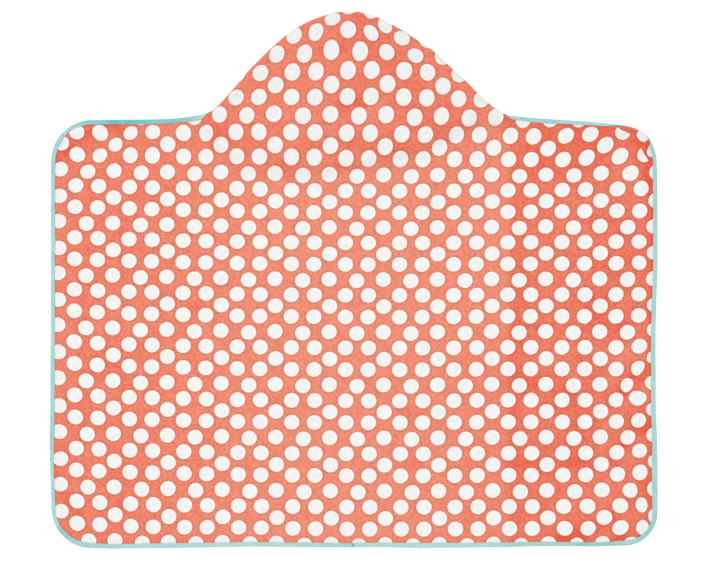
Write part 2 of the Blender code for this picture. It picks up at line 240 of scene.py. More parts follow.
class Line:
    """A smooth line through knots, looked up by distance along it."""

    PER_SPAN = 12

    def __init__(self, knots, closed=False):
        self.closed = closed
        places = [Vector((k.x, k.y)) for k in knots]
        slopes = [k.heading or self.slope(places, i) for i, k in enumerate(knots)]
        points = []
        for i in range(len(places) if closed else len(places) - 1):
            j = (i + 1) % len(places)
            a, b = places[i], places[j]
            third = (b - a).length / 3
            handles = a + slopes[i] * third, b - slopes[j] * third
            run = interpolate_bezier(a, *handles, b, self.PER_SPAN + 1)
            points += [tuple(p[:2]) for p in run[:-1]]
        points.append(tuple(places[0 if closed else -1]))
        self.points = np.array(points)
        self.steps = np.linalg.norm(np.diff(self.points, axis=0), axis=1)
        self.distances = np.concatenate([[0.0], np.cumsum(self.steps)])
        self.length = self.distances[-1]
        beyond = (points[-2], points[1]) if closed else (points[0], points[-1])
        padded = np.vstack([beyond[0], self.points, beyond[1]])
        along = unit(padded[2:] - padded[:-2])
        self.inward = np.stack([-along[:, 1], along[:, 0]], axis=1)
        starts = self.distances[:: self.PER_SPAN]
        self.named = {k.name: start for k, start in zip(knots, starts) if k.name}

    def slope(self, places, i):
        """The direction at a knot: that of the shorter neighbouring span counts for more."""
        last = len(places) - 1
        before = places[i] - places[i - 1] if i or self.closed else None
        after = places[(i + 1) % len(places)] - places[i] if i < last or self.closed else None
        if before is None or after is None:
            return (before or after).normalized()
        weighted = before.normalized() * after.length + after.normalized() * before.length
        return weighted / (before.length + after.length)

    def at(self, distance):
        """The points at distances along the line, and the directions to the left of it."""
        distance = np.asarray(distance, float)
        if self.closed:
            distance = distance % self.length
        low = np.searchsorted(self.distances, distance, side="right") - 1
        low = np.clip(low, 0, len(self.steps) - 1)
        t = ((distance - self.distances[low]) / self.steps[low])[..., None]
        point = self.points[low] * (1 - t) + self.points[low + 1] * t
        return point, unit(self.inward[low] * (1 - t) + self.inward[low + 1] * t)

    def nearest(self, places):
        """How far each place is from the line, and how far along the line it is nearest."""
        best = np.full(len(places), np.inf)
        where = np.zeros(len(places))
        for i, (gap, share) in enumerate(from_spans(self.points, places)):
            closer = gap < best
            best[closer] = gap[closer]
            where[closer] = self.distances[i] + share[closer] * self.steps[i]
        return best, where

    def height_at(self, x):
        """The line's y at each x, for a line that runs from left to right."""
        return np.interp(x, self.points[:, 0], self.points[:, 1], left=np.inf, right=np.inf)


outline = Line(OUTLINE, closed=True)
seam_start = outline.named["right_base"] + SEAM_END
seam_end = outline.named["left_base"] - SEAM_END
mouth_ends = [Knot(*outline.at(s)[0]) for s in (seam_end, seam_start)]
mouth = Line([mouth_ends[0], *MOUTH, mouth_ends[1]])
hood_foot = Line(HOOD_FOOT)


def hood_rise(places):
    """How far the back panel stands off the floor because of the hood's front panel."""
    within, _ = hood_foot.nearest(places)
    ridge = MOUTH_RIDGE * bell((within - HOOD_SLOPE) / MOUTH_RIDGE_HALF_WIDTH)
    rise = (HOOD_RISE + ridge) * smoothstep(within / HOOD_SLOPE)
    return np.where(places[:, 1] < hood_foot.height_at(places[:, 0]), 0.0, rise)


def panel_height(places):
    """The height of the middle of the back panel's cloth, away from its edge."""
    across = np.abs(places[:, 0] - PACKING_FOLD_X) / PACKING_FOLD_HALF_WIDTH
    fold = PACKING_FOLD_RISE * (1 - smoothstep(across))
    return HALF + np.maximum(fold, hood_rise(places))


def finish_at(distance):
    """How the panel ends at distances along its outline, as a Finish of arrays."""
    rows = [(outline.named[s.knot] + s.offset, s.finish) for s in EDGE]
    rows.append((outline.length, EDGE[0].finish))
    starts = np.array([start for start, _ in rows])
    values = np.array([finish for _, finish in rows])
    distance = distance % outline.length
    low = np.clip(np.searchsorted(starts, distance, side="right") - 1, 0, len(rows) - 2)
    t = smoothstep((distance - starts[low]) / (starts[low + 1] - starts[low]))[:, None]
    return Finish(*(values[low] * (1 - t) + values[low + 1] * t).T)


class Rim:
    """The back panel's edge strip, in section at many places along the outline."""

    def __init__(self, distance):
        self.foot, self.inward = outline.at(distance)
        self.finish = finish_at(distance)
        turn = np.radians(self.finish.turn)[:, None]
        depth = np.arange(round(RIM_DEPTH / SECTION_STEP) + 1) * SECTION_STEP
        middle = self.lean(depth[:-1] + SECTION_STEP / 2)
        reach = self.finish.half - HALF
        # first: how high the middle of the cut edge is when the edge rests on the floor.
        first = self.finish.half * np.abs(np.cos(turn[:, 0])) + reach * np.sin(turn[:, 0])
        # q: how far in the middle of the cloth is at each depth, and up: how high.
        zero = np.zeros((len(distance), 1))
        q = np.cumsum(np.hstack([zero, np.cos(middle) * SECTION_STEP]), axis=1)
        up = np.cumsum(np.hstack([zero, np.sin(middle) * SECTION_STEP]), axis=1)
        self.up = up + (first + self.finish.lift)[:, None]
        self.leans = self.lean(depth)
        # The outline is where the tape or the cloth reaches furthest out.
        wing = np.where(reach > 0, WING, 0.0)
        ends = np.stack([-reach, wing], axis=1) * np.cos(turn)
        outermost = np.min(ends - self.finish.half[:, None] * np.sin(turn), axis=1)
        outermost = np.minimum(outermost, np.min(q - HALF * np.sin(self.leans), axis=1))
        self.q = q - outermost[:, None]
        self.hidden = RIM_DEPTH - self.q[:, -1]  # cloth that the turned edge takes up
        inner = self.foot + self.inward * self.q[:, -1:]
        self.settle = panel_height(inner) - self.up[:, -1]

    def lean(self, depth):
        """How steeply the cloth stands at depths inside the cut edge, in radians."""
        turn, straight, bend, ease = (f[:, None] for f in self.finish[:4])
        left = np.clip(1 - (depth[None, :] - straight) / bend, 0.0, 1.0)
        return np.radians(turn) * left**ease

    def point(self, depth, h):
        """Points depth inside the cut edge, one for each place, and h above the middle."""
        depth = np.broadcast_to(depth, self.settle.shape)
        inside = np.clip(depth, 0.0, RIM_DEPTH)
        row = inside / SECTION_STEP
        low = np.minimum(row.astype(int), self.q.shape[1] - 2)
        t = row - low
        place = np.arange(len(low))

        def read(values):
            return values[place, low] * (1 - t) + values[place, low + 1] * t

        lean = read(self.leans)
        q = read(self.q) + (depth - inside) * np.cos(lean) - h * np.sin(lean)
        z = read(self.up) + (depth - inside) * np.sin(lean) + h * np.cos(lean)
        held = self.finish.straight + self.finish.bend
        z = z + self.settle * rising(inside, held, RIM_DEPTH - held)
        return np.column_stack([self.foot + self.inward * q[:, None], z])

    def cloth_place(self, depth):
        """Where those points are on the cloth if it is laid out flat."""
        return self.foot + self.inward * (depth - self.hidden)[:, None]


# ---- how the cloth lies

# Soft creases. A fold runs from (x0, y0) to (x1, y1), bowed to its right by bow, as
# a ridge of that height (or a trough, below 0). It falls off over half to its left and, times
# skew, to its right.
Fold = namedtuple("Fold", "x0 y0 x1 y1 bow height half skew", defaults=(1.0,))
FOLD_TAPER = 0.3  # share of its length over which a fold rises from each end
FOLDS = table(
    Fold,
    # packing fold: a faint sharper crest on the broad one
    (254, -436, 254, 262, 1.5, 0.5, 5),
    # rolled corner: the crease that gathers the cloth, and its neighbours
    (408, 259, 467, 226, -5, -0.9, 3.5, 2),
    (462, 232, 494, 176, -2, -1, 3.5, 2),
    (414, 246, 486, 172, -7, 1.2, 8),
    (456, 246, 492, 206, -2, 1.3, 7),
    (352, 244, 470, 130, 10, 0.7, 16),
    (330, 220, 430, 120, 8, -0.5, 12, 1.2),
    (478, 196, 493, 128, 3, -0.8, 6, 1.3),
    # right edge puckers
    (455, 10, 496, -2, 2, -0.7, 6, 1.4),
    (440, 62, 494, 48, 3, 0.6, 10),
    (422, -214, 492, -135, -5, -1.2, 7, 1.3),
    (410, -178, 476, -98, -5, 1, 10),
    (426, -300, 490, -227, -6, -1.2, 7, 1.3),
    (412, -262, 474, -178, -6, 1, 11),
    (400, -340, 478, -262, -6, 0.7, 13),
    (392, -196, 470, -290, 8, 0.3, 11),
    (452, -330, 492, -352, 3, -0.9, 8, 1.2),
    (468, -356, 488, -388, 2, 0.9, 8),
    # hem, right
    (328, -432, 384, -418, -4, -0.9, 7, 1.4),
    (414, -430, 446, -414, -3, -0.9, 6, 1.4),
    (384, -420, 420, -396, 3, 0.8, 10),
    (300, -410, 400, -358, 4, 0.5, 16),
    # rows of shallow dimples right of the middle
    (-8, -300, 28, -302, 2, -0.3, 14),
    (76, -304, 118, -302, 2, -0.5, 13),
    (166, -302, 222, -300, 2, -0.3, 14),
    (250, -304, 314, -304, 2, -0.5, 13),
    (344, -302, 382, -306, 2, -0.5, 14),
    (10, -160, 52, -180, 2, -0.4, 14),
    (84, -220, 138, -226, 2, -0.4, 14),
    (236, -166, 300, -176, 4, -0.5, 15),
    (342, -192, 388, -250, 3, -0.5, 14),
    (384, -62, 446, -92, 6, -0.6, 20),
    (404, 98, 446, 70, 2, -0.5, 13),
    (85, -263, 142, -206, 3, 0.4, 11),
    (52, -357, 166, -264, 5, 0.4, 13),
    # left side
    (-472, 262, -380, 254, 6, 0.6, 14),
    (-500, 190, -421, 252, -2, -1.1, 6.5, 1.6),
    (-424, 264, -384, 258, 2, -0.6, 7),
    (-462, 132, -380, 178, 8, 0.4, 24),
    (-258, -62, -217, -118, 3, 0.6, 10),
    (-281, -20, -250, -54, 2, -0.4, 13),
    (-470, -36, -388, -66, 2, 0.5, 12),
    (-430, -118, -376, -170, 3, -0.5, 18),
    (-492, -310, -456, -387, 4, -0.9, 6, 1.3),
    (-476, -296, -440, -366, 5, 0.5, 10),
    (-144, -184, -108, -212, 2, -0.4, 12),
    (-266, -242, -230, -276, 2, -0.4, 14),
    # hood: dimples, and the creases where it lies over the front panel
    (-62, 381, -14, 379, 3, -0.7, 11),
    (-30, 276, 14, 304, -5, -1, 10),
    (20, 262, 50, 300, 3, 0.8, 10),
    (-230, 240, -194, 248, 2, -0.7, 9, 1.3),
    (-130, 176, -50, 234, -5, -0.8, 9, 1.2),
    (-40, 176, 20, 218, -6, -0.8, 10, 1.2),
    (-28, 224, 92, 206, 6, -0.7, 12, 1.2),
    (60, 238, 170, 272, 6, -0.4, 22),
    (120, 256, 206, 280, 3, 0.5, 14),
    (236, 262, 262, 252, 1, -0.8, 7, 1.2),
    (-226, 280, -206, 268, 1, -0.8, 7, 1.2),
    (48, 396, 66, 372, 2, 0.5, 12),
    (-150, 320, -96, 352, 4, 0.4, 18),
    (84, 330, 128, 300, 4, -0.4, 18),
)

# Where a crease swallows cloth. To the left of its line the print has moved on by hides, and
# it has caught up again after fade. A soft one takes the width soft to move; a sharp one cuts
# the dots it crosses.
Tuck = namedtuple("Tuck", "line hides fade soft", defaults=(0.0,))
TUCK_TAPER = 0.18  # share of its length over which a tuck deepens from each end


def line_of(*places):
    return Line(table(Knot, *places))


SHARP_TUCKS = [
    Tuck(line_of((420.7, 257.3), (442.5, 246.2), (465.2, 234.4)), 12.5, 11.8),
    Tuck(line_of((467.5, 225.2), (480.0, 205.6), (492.5, 185.8)), 12.5, 10.0),
]
SOFT_TUCKS = [
    Tuck(line_of((494, -118), (476, -146), (460, -174), (438, -206)), 6.5, 17.0, 12.0),
    Tuck(line_of((-450, 178), (-394, 226), (-348, 266)), 4.0, 28.0, 22.0),
    Tuck(line_of((-262, 205), (-240, 240), (-236, 270)), 2.5, 20.0, 18.0),
]

# Puckers along the bound edge, where the stitching draws the cloth in.
PUCKER_DEPTH = 0.45
PUCKER_PITCH = 31.0
PUCKER_WANDER = 9.0
PUCKER_MIDDLE = 9.0  # from the edge to where they are deepest
PUCKER_REACH = 16.0
SEAM_CLEAR = 3.0  # how far from the hood's seam the creases begin
SEAM_SLOPE = 20.0  # and over how much more they come to their full height

# Painted shade and light in the coral: a patch deepens it by its value where a crease, dimple or
# slope would be in shade, and lightens it where the value is below 0 and a flank would catch the
# light. A patch runs from (x0, y0) to (x1, y1), bowed to its right, and fades over half across it
# and over ends past each end.
Patch = namedtuple("Patch", "x0 y0 x1 y1 half ends nap bow", defaults=(0.0,))
PLAIN_NAP = 0.12
RIGHT_STRIP_DEEPER = 0.34  # right of the packing fold
HOOD_DEEPER = 0.18
TAPE_SIDE_PAINTED_SHADE = 0.15  # painted shadow on the cloth beside the tape
RIGHT_SIDE_PAINTED_SHADE = 0.35  # more painted shadow beside the tape on the towel's right side
HOOD_WHITE_GREY = 0.5  # how grey the white dots are over the hood
# painted shade on the white dots: near the edge, beside the tape, and more beside it on the right
# side
EDGE_WHITE_PAINTED_SHADE = 0.35
TAPE_SIDE_WHITE_PAINTED_SHADE = 0.3
RIGHT_SIDE_WHITE_PAINTED_SHADE = 0.5
PATCHES = table(
    Patch,
    # broad painted shade and light: the left part, the middle of the towel, the hood's right half
    (-420, -460, -420, 460, 180, 200, 0.21),
    (-496, -300, -496, 180, 26, 60, -0.06),
    (-60, -400, -60, 60, 110, 120, -0.07),
    (60, -60, 160, 60, 90, 90, -0.03),
    (30, 420, 150, 230, 60, 50, 0.13),
    (-120, 300, -60, 260, 60, 40, -0.05),
    (215, -420, 240, -160, 60, 60, 0.12),
    # packing fold: painted light on the flank left of it in its middle reach, painted shade right
    # of it
    (246, -40, 246, 90, 14, 60, -0.06),
    (268, -30, 268, 70, 16, 60, 0.10),
    # right strip, upper part
    (280, 200, 400, 200, 42, 30, 0.16),
    (330, 246, 420, 244, 24, 30, 0.22),
    (252, 274, 246, 256, 10, 12, 0.50),
    (478, 222, 494, 150, 18, 22, 0.48),
    (498, 140, 498, -30, 18, 50, 0.28),
    (458, 170, 472, 154, 14, 12, -0.28),
    (420, 200, 470, 186, 18, 20, -0.10),
    # right strip, middle
    (350, 70, 370, 140, 40, 40, -0.07),
    (408, 100, 450, 70, 18, 20, 0.12),
    (420, 40, 450, 20, 22, 20, 0.10),
    (396, -56, 436, -76, 30, 24, 0.22),
    (282, -60, 292, -96, 22, 16, 0.12),
    (320, -10, 330, -60, 20, 20, -0.04),
    (420, -124, 462, -112, 20, 18, -0.20),
    (414, -172, 444, -134, 12, 16, -0.12),
    (300, -130, 350, -128, 22, 20, -0.10),
    # right strip, lower part, with the diagonal creases
    (430, -202, 494, -140, 13, 14, 0.32, -5),
    (412, -250, 474, -180, 11, 16, -0.14, -6),
    (430, -296, 494, -230, 14, 14, 0.34, -6),
    (486, -250, 496, -300, 14, 20, 0.24),
    (412, -334, 470, -272, 12, 18, -0.18),
    (252, -170, 300, -168, 16, 14, 0.18),
    (346, -186, 384, -256, 22, 16, 0.22),
    (254, -304, 312, -304, 17, 10, 0.26),
    (350, -302, 382, -302, 16, 10, 0.32),
    (476, -330, 494, -366, 14, 14, 0.26),
    (370, -368, 410, -360, 22, 22, -0.16),
    (398, -408, 426, -388, 12, 12, 0.24),
    (336, -432, 372, -424, 15, 14, 0.62),
    (436, -432, 442, -412, 12, 10, 0.62),
    (474, -420, 486, -400, 14, 14, 0.16),
    # middle: painted shade in dimples and streaks, painted light on the ridges beside them
    (78, -304, 112, -304, 16, 9, 0.26),
    (-6, -304, 26, -304, 15, 10, 0.12),
    (162, -308, 190, -300, 15, 14, 0.06),
    (16, -164, 46, -178, 14, 12, 0.15),
    (84, -216, 132, -226, 16, 14, 0.12),
    (88, -262, 140, -208, 8, 14, -0.10),
    (56, -356, 160, -270, 8, 18, -0.07),
    (-280, -22, -254, -50, 14, 10, 0.16),
    (-256, -66, -220, -116, 9, 12, -0.22),
    (-142, -186, -110, -208, 11, 9, 0.14),
    (-258, -246, -236, -272, 15, 12, 0.11),
    (-262, -130, -230, -150, 14, 14, 0.10),
    (-124, 150, -120, 110, 16, 30, -0.09),
    # left part
    (-420, -124, -376, -164, 20, 14, 0.12),
    (-452, -40, -452, -210, 12, 40, 0.08),
    (-400, -62, -430, -84, 14, 20, -0.12),
    (-392, -214, -386, -236, 14, 12, 0.12),
    (-394, -300, -380, -370, 22, 20, 0.10),
    (-490, -314, -456, -384, 9, 14, 0.28, 4),
    (-484, -260, -478, -290, 12, 16, 0.14),
    # along the hem
    (-440, -440, -260, -437, 12, 20, 0.16),
    (-220, -437, 90, -437, 11, 20, 0.10),
    # top left
    (-500, 188, -424, 250, 12, 12, 0.44, -2),
    (-412, 258, -396, 264, 12, 11, 0.44),
    (-388, 246, -372, 246, 13, 12, 0.26),
    (-330, 256, -300, 262, 13, 14, -0.16),
    (-226, 244, -198, 240, 13, 10, 0.26),
    (-276, 230, -296, 214, 11, 14, 0.12),
    (-440, 110, -360, 140, 30, 40, 0.04),
    # hood
    (-52, 380, -20, 380, 11, 11, 0.28),
    (-18, 286, 8, 296, 12, 10, 0.44),
    (26, 276, 46, 292, 12, 10, -0.26),
    (-150, 176, -90, 182, 13, 14, 0.10),
    (-124, 180, -104, 196, 10, 9, 0.34),
    (-96, 206, -50, 228, 14, 12, 0.24, -2),
    (-36, 180, -8, 196, 12, 10, 0.26),
    (-8, 214, 76, 214, 20, 16, 0.22),
    (60, 222, 180, 250, 26, 24, 0.12),
    (8, 432, 34, 402, 18, 16, 0.16),
)


def along_fold(f, places):
    """How far places are along a fold, as a share of it, and how far to its right."""
    start = np.array([f.x0, f.y0])
    run = np.array([f.x1, f.y1]) - start
    length = np.linalg.norm(run)
    run = run / length
    share = (places - start) @ run / length
    across = (places - start) @ np.array([run[1], -run[0]])
    return share, across - 4 * f.bow * share * (1 - share)


def tapered(share, taper):
    """1 along a line, and less over a share of it at each end."""
    return smoothstep(share / taper) * smoothstep((1 - share) / taper)


def crease(places):
    """The height that the folds add at places."""
    height = np.zeros(len(places))
    for f in FOLDS:
        share, across = along_fold(f, places)
        half = np.where(across > 0, f.half * f.skew, f.half)
        height += f.height * tapered(share, FOLD_TAPER) * bell(across / half)
    return height


def patch_painted_shade(places):
    """What the patches add to the nap at places."""
    nap = np.zeros(len(places))
    for p in PATCHES:
        share, across = along_fold(p, places)
        length = math.hypot(p.x1 - p.x0, p.y1 - p.y0)
        past = np.maximum(np.maximum(-share, share - 1) * length, 0)
        nap += p.nap * bell(across / p.half) * bell(past / p.ends)
    return nap


def soft_noise(places, pitch, seed):
    """A smooth random height field from -1 to 1, with bumps about a pitch apart."""
    values = np.random.default_rng(seed).uniform(-1, 1, (64, 64))
    grid = places / pitch + 32
    low = np.floor(grid).astype(int)
    t, u = smoothstep(grid - low).T
    x, y = (low % 63).T
    near = values[x, y] * (1 - t) + values[x + 1, y] * t
    far = values[x, y + 1] * (1 - t) + values[x + 1, y + 1] * t
    return near * (1 - u) + far * u


def clouds(places, *layers):
    """Soft noises added up, from layers of (share, pitch, seed)."""
    return sum(share * soft_noise(places, pitch, seed) for share, pitch, seed in layers)


def in_row(distance, row=0):
    """Places for the soft noise at distances along a line."""
    return np.column_stack([distance, distance * 0 + row])


def bound_share(where):
    """1 where the edge is bound, and 0 where it is the hood's seam."""
    start, end = outline.named["right_base"], outline.named["left_base"]
    return 1.0 - ((where > start) & (where < end))


def pucker(gap, where):
    """Shallow hollows beside the bound edge, unevenly spaced, from 0 to 1."""
    wander = clouds(in_row(where), (PUCKER_WANDER, 90, 5))
    wave = 0.5 - 0.5 * np.cos(2 * math.pi * (where + wander) / PUCKER_PITCH)
    depth = bell((gap - PUCKER_MIDDLE) / PUCKER_REACH)
    return depth * wave**1.5 * bound_share(where)


def lay(points):
    """Points of the cloth, with the creases added. On the floor only the upper side sinks."""
    places = points[:, :2]
    gap, where = outline.nearest(places)
    height = crease(places) - PUCKER_DEPTH * pucker(gap, where)
    height += clouds(places, (0.22, 70, 1), (0.10, 24, 2))
    height = np.where(height < 0, height * np.clip(points[:, 2] / CLOTH, 0.0, 1.0), height)
    off_seam = rising(gap, SEAM_CLEAR, SEAM_SLOPE)
    height = height * np.where(bound_share(where) > 0, 1.0, off_seam)
    return points + height[:, None] * (0, 0, 1)


def beside_tape(gap, where):
    """1 at the inner edge of the tape, and less within a few millimetres of it."""
    return bell((gap - TAPE_WIDTH) / 3.0) * bound_share(where)


def tone_and_painted_shade_of(places):
    """How deep the coral is at places, and how grey its white is, with painted shade and light."""
    gap, where = outline.nearest(places)
    x, y = places.T
    right_strip = rising(x, PACKING_FOLD_X - 6, 14)
    hood = rising(y, hood_foot.height_at(x), 40)
    right_side = rising(x, 440, 40) * rising(y, -340, 60)
    tape_side = beside_tape(gap, where)
    # Deeper right of the packing fold and over the hood; painted shade and light from the patches.
    nap = PLAIN_NAP + RIGHT_STRIP_DEEPER * right_strip + HOOD_DEEPER * hood + patch_painted_shade(places)
    # Painted shadow beside the tape, the more so on the towel's right side.
    nap += tape_side * (TAPE_SIDE_PAINTED_SHADE + RIGHT_SIDE_PAINTED_SHADE * right_side)
    nap += clouds(places, (0.7, 26, 3), (0.4, 12, 4)) * (0.035 + 0.16 * np.clip(nap, 0.0, 0.6))
    # Greyer white over the hood, with painted shade near the edge and beside the tape.
    dull = HOOD_WHITE_GREY * hood + EDGE_WHITE_PAINTED_SHADE * bell(gap / 30)
    dull += tape_side * (TAPE_SIDE_WHITE_PAINTED_SHADE + RIGHT_SIDE_WHITE_PAINTED_SHADE * right_side)
    return np.clip(nap, 0.0, 1.0), np.clip(dull, 0.0, 1.0)


# ---- the print

CELL = np.array([89.12, 86.79])  # width and height of the repeat
FIRST_DOT = np.array([-39.5, -43.8])
DOT_DIAMETER = 24.3
DOT_OVAL = 0.0265  # how much longer, and how much narrower, a dot is than a circle
DOT_TILT = 18.0  # degrees from the towel's long side to a dot's longer way

# The dots of one repeat: shares of its width and height from its first dot.
Dot = namedtuple("Dot", "across up")
DOTS = table(
    Dot,
    (0, 0),
    (-0.2915, -0.199),
    (0.2915, -0.199),
    (-0.010, -0.485),
    (0.502, -0.511),
    (-0.283, -0.787),
    (0.291, -0.787),
)

# Where the cloth was drawn as it was laid out, and its print with it: by (dx, dy) at (x, y),
# and less over its reach.
Pull = namedtuple("Pull", "x y reach_x reach_y dx dy")
PULLS = table(
    Pull,
    (500, 260, 110, 70, 9.5, 5),
    (480, -400, 80, 60, 8, 0),
    (-470, -400, 100, 80, 1.5, 0),
    (-470, 240, 110, 60, 7, -1.5),
    (-160, 265, 70, 50, -3.2, 0.8),
    (20, 120, 230, 50, -0.5, -1.2),
    (300, 240, 70, 50, -1, -4),
    (-500, -100, 60, 120, -1.4, 2.8),
    (480, 130, 60, 40, 2.3, 0),
    (-60, 322, 80, 48, -0.6, -2.8),
    (-2, 412, 36, 26, -1, 4.6),
    (70, 424, 48, 36, -7, -10),
    (-104, 404, 34, 16, 2, -2.6),
    (-140, 372, 30, 16, 1.6, -1.2),
    (110, 290, 70, 60, 1.4, -1.2),
    (150, 240, 80, 40, 0, -1.8),
    (-190, 172, 60, 38, -1.2, 2.3),
    (-80, 206, 50, 24, -0.4, 1.8),
    (-330, 268, 60, 34, 2.6, -0.6),
    (-236, 250, 40, 30, 0.2, -0.8),
    (474, -310, 30, 60, -0.6, 2.2),
    (420, -100, 36, 130, 0, -1.3),
    (240, -160, 70, 260, 0, 0.9),
    (-480, -340, 40, 60, 0.4, 1.5),
    (-470, -272, 60, 36, 1.4, 0.2),
    (-330, -400, 70, 44, 0, -1.6),
    (-200, -432, 110, 26, -1.2, 0.5),
    (350, -428, 36, 24, 2.2, 0),
    (440, -426, 44, 22, -3, 0),
    (500, -380, 24, 40, -12, 0),
    (482, -304, 22, 18, 0.8, 1.6),
    (478, -170, 22, 16, 0.5, -2.4),
    (380, -398, 30, 18, 1.7, -0.8),
    (490, -235, 26, 60, -1, 1.6),
    (490, -92, 26, 34, 1, 1.2),
    (490, -6, 26, 24, -0.7, -2),
    (490, 92, 26, 44, -1, -2),
    (436, 247, 26, 18, -3.2, 2.6),
    (484, 238, 24, 18, -11, -4.3),
    (494, 213, 13, 15, -8.3, -9.5),
    (390, 250, 30, 18, -1.2, 0.2),
    (476, 203, 16, 18, 3.7, 3.4),
    (462, 173, 24, 22, 2.2, 1.3),
    (460, 20, 22, 20, 1.9, 1.3),
    (284, 257, 22, 18, 0, 1.5),
    (345, 200, 24, 22, -0.4, -1.6),
    (106, 382, 30, 22, -0.8, -2.6),
    (92, 354, 22, 18, 1.2, 1.4),
    (24, 400, 28, 22, 2.3, 1.4),
    (22, 436, 18, 14, -1, -4),
    (-48, 402, 30, 22, -1.8, 2),
    (-440, 254, 50, 18, -0.4, 2.3),
    (-446, 210, 30, 26, -2.4, 0.5),
    (-332, 230, 22, 20, 0, 1.6),
    (-262, 226, 28, 16, 0.8, -1.6),
    (-482, -396, 24, 34, -1, 2.2),
    (-170, -430, 60, 18, 0.2, 1.5),
    (-34, 444, 26, 9, 0, -4.5),
    (-36, 415, 18, 8, 0, 1.3),
    (121, 390, 15, 13, 3, -4),
    (147, 362, 16, 13, -0.8, -3.4),
    (459, 255, 10, 8, 0, 5),
    (-394, 262, 14, 8, 0, 2),
    (476, -186, 12, 10, 1.6, 0),
    (470, -206, 18, 12, -1.8, 0.4),
    (440, -171, 9, 14, 1, 0),
    (461, -171, 9, 14, -1, 0),
)
DRIFT_SPAN = 400.0  # from the middle up to where the print has drifted by the next two
DRIFT_EVEN = (0.5, -1.2)  # in proportion to the distance
DRIFT_GROWING = (3.3, -3.0)  # and to its square
ROW_BOW_MIDDLE = 80.0  # the rows of dots hang lowest here
ROW_BOW_LEFT = (9.2, 550.0)  # how much higher they are, and how far to the left
ROW_BOW_RIGHT = (2.7, 386.0)
HOOD_PRINT_START = 180.0
HOOD_HALF_WIDTH = 160.0
HOOD_LEAN = 2.2  # to the right, over the hood
HOOD_SPREAD = 4.3  # to both sides there
HOOD_STRETCH = 0.19  # share by which the hood draws the print out, away from its sides
HOOD_NARROWING = 0.25  # how much less it does so at its sides, at its full height
HOOD_HEIGHT = 175.0  # from where its print starts to be drawn


def hood_drift(x, y):
    """How far the hood has drawn the print to the right and up."""
    above = np.maximum(y - HOOD_PRINT_START, 0)
    share = above**2 / (above**2 + 70**2)
    at_side = ((x - 5) / HOOD_HALF_WIDTH) ** 2 * np.minimum(above / HOOD_HEIGHT, 1)
    dx = share * (HOOD_LEAN + HOOD_SPREAD * x / HOOD_HALF_WIDTH)
    dy = HOOD_STRETCH * above**2 / (above + 22) * (1 - HOOD_NARROWING * at_side)
    return np.column_stack([dx, dy])


def print_drift(places):
    """How far the print at places has been drawn from its even repeat."""
    x, y = places.T
    edge = y[:, None] / DRIFT_SPAN
    drift = edge * DRIFT_EVEN + edge**2 * DRIFT_GROWING + hood_drift(x, y)
    for side, (rise, reach) in ((-1, ROW_BOW_LEFT), (1, ROW_BOW_RIGHT)):
        aside = np.maximum(side * (x - ROW_BOW_MIDDLE), 0)
        drift[:, 1] += rise * (aside / reach) ** 2
    for p in PULLS:
        near = bell((x - p.x) / p.reach_x) * bell((y - p.y) / p.reach_y)
        drift += near[:, None] * (p.dx, p.dy)
    for tuck in SOFT_TUCKS:
        shift, across, _ = tucked(places, tuck)
        drift += shift * smoothstep(across / tuck.soft + 0.5)[:, None]
    return drift


def tucked(places, tuck):
    """How a tuck moves the print at places, were they all past its line, and how far they are."""
    gap, where = tuck.line.nearest(places)
    point, left = tuck.line.at(np.minimum(where, tuck.line.length - 1e-6))
    across = np.einsum("ij,ij->i", places - point, left)
    caught_up = bell(np.maximum(across, 0) / tuck.fade)
    depth = tapered(where / tuck.line.length, TUCK_TAPER)
    return -left * (tuck.hides * caught_up * depth)[:, None], across, gap


def sharp_tucks(places):
    """What tucked gives for the nearest of the sharp tucks, whose shift the shader applies."""
    shifts, acrosses, gaps = zip(*(tucked(places, tuck) for tuck in SHARP_TUCKS))
    nearest = np.argmin(gaps, axis=0), np.arange(len(places))
    return np.array(shifts)[nearest], np.array(acrosses)[nearest]


def print_place(places):
    """Print coordinates: whole numbers are the first dots of the repeats."""
    return (places - print_drift(places) - FIRST_DOT) / CELL


# ---- meshes


def add_object(name, data):
    made = bpy.data.objects.new(name, data)
    bpy.context.scene.collection.objects.link(made)
    return made


def new_mesh(name, points, faces, uvs, materials, indices, **attributes):
    """An object from points in millimetres. uvs and attributes have a value for each point."""
    mesh = bpy.data.meshes.new(name)
    mesh.from_pydata((points * MM).tolist(), [], faces)
    loops = np.empty(len(mesh.loops), np.int32)
    mesh.loops.foreach_get("vertex_index", loops)
    layer = mesh.uv_layers.new(name="print")
    layer.data.foreach_set("uv", uvs[loops].astype(np.float32).ravel())
    for key, values in attributes.items():
        kind, field = ("FLOAT", "value") if values.ndim == 1 else ("FLOAT_VECTOR", "vector")
        attribute = mesh.attributes.new(key, kind, "POINT")
        attribute.data.foreach_set(field, values.astype(np.float32).ravel())
    for material in materials:
        mesh.materials.append(material)
    mesh.polygons.foreach_set("material_index", np.asarray(indices, np.int32))
    mesh.shade_smooth()
    mesh.update()
    return add_object(name, mesh)


def band(a, b, count, flip):
    """Quads between two rings of count points, numbered from a and from b."""
    faces = []
    for i in range(count):
        j = (i + 1) % count
        faces.append((a + i, b + i, b + j, a + j) if flip else (a + i, a + j, b + j, b + i))
    return faces


def ring_faces(start, count, rows, flip):
    """Quads between rings of count points that follow each other, the first at start."""
    faces = []
    for ring in range(start, start + (rows - 1) * count, count):
        faces += band(ring, ring + count, count, flip)
    return faces


def tube_faces(start, count, rows):
    """Quads between rings, and a face over each end."""
    last = start + (rows - 1) * count
    ends = [range(start, start + count), range(last + count - 1, last - 1, -1)]
    return ring_faces(start, count, rows, flip=True) + [tuple(end) for end in ends]


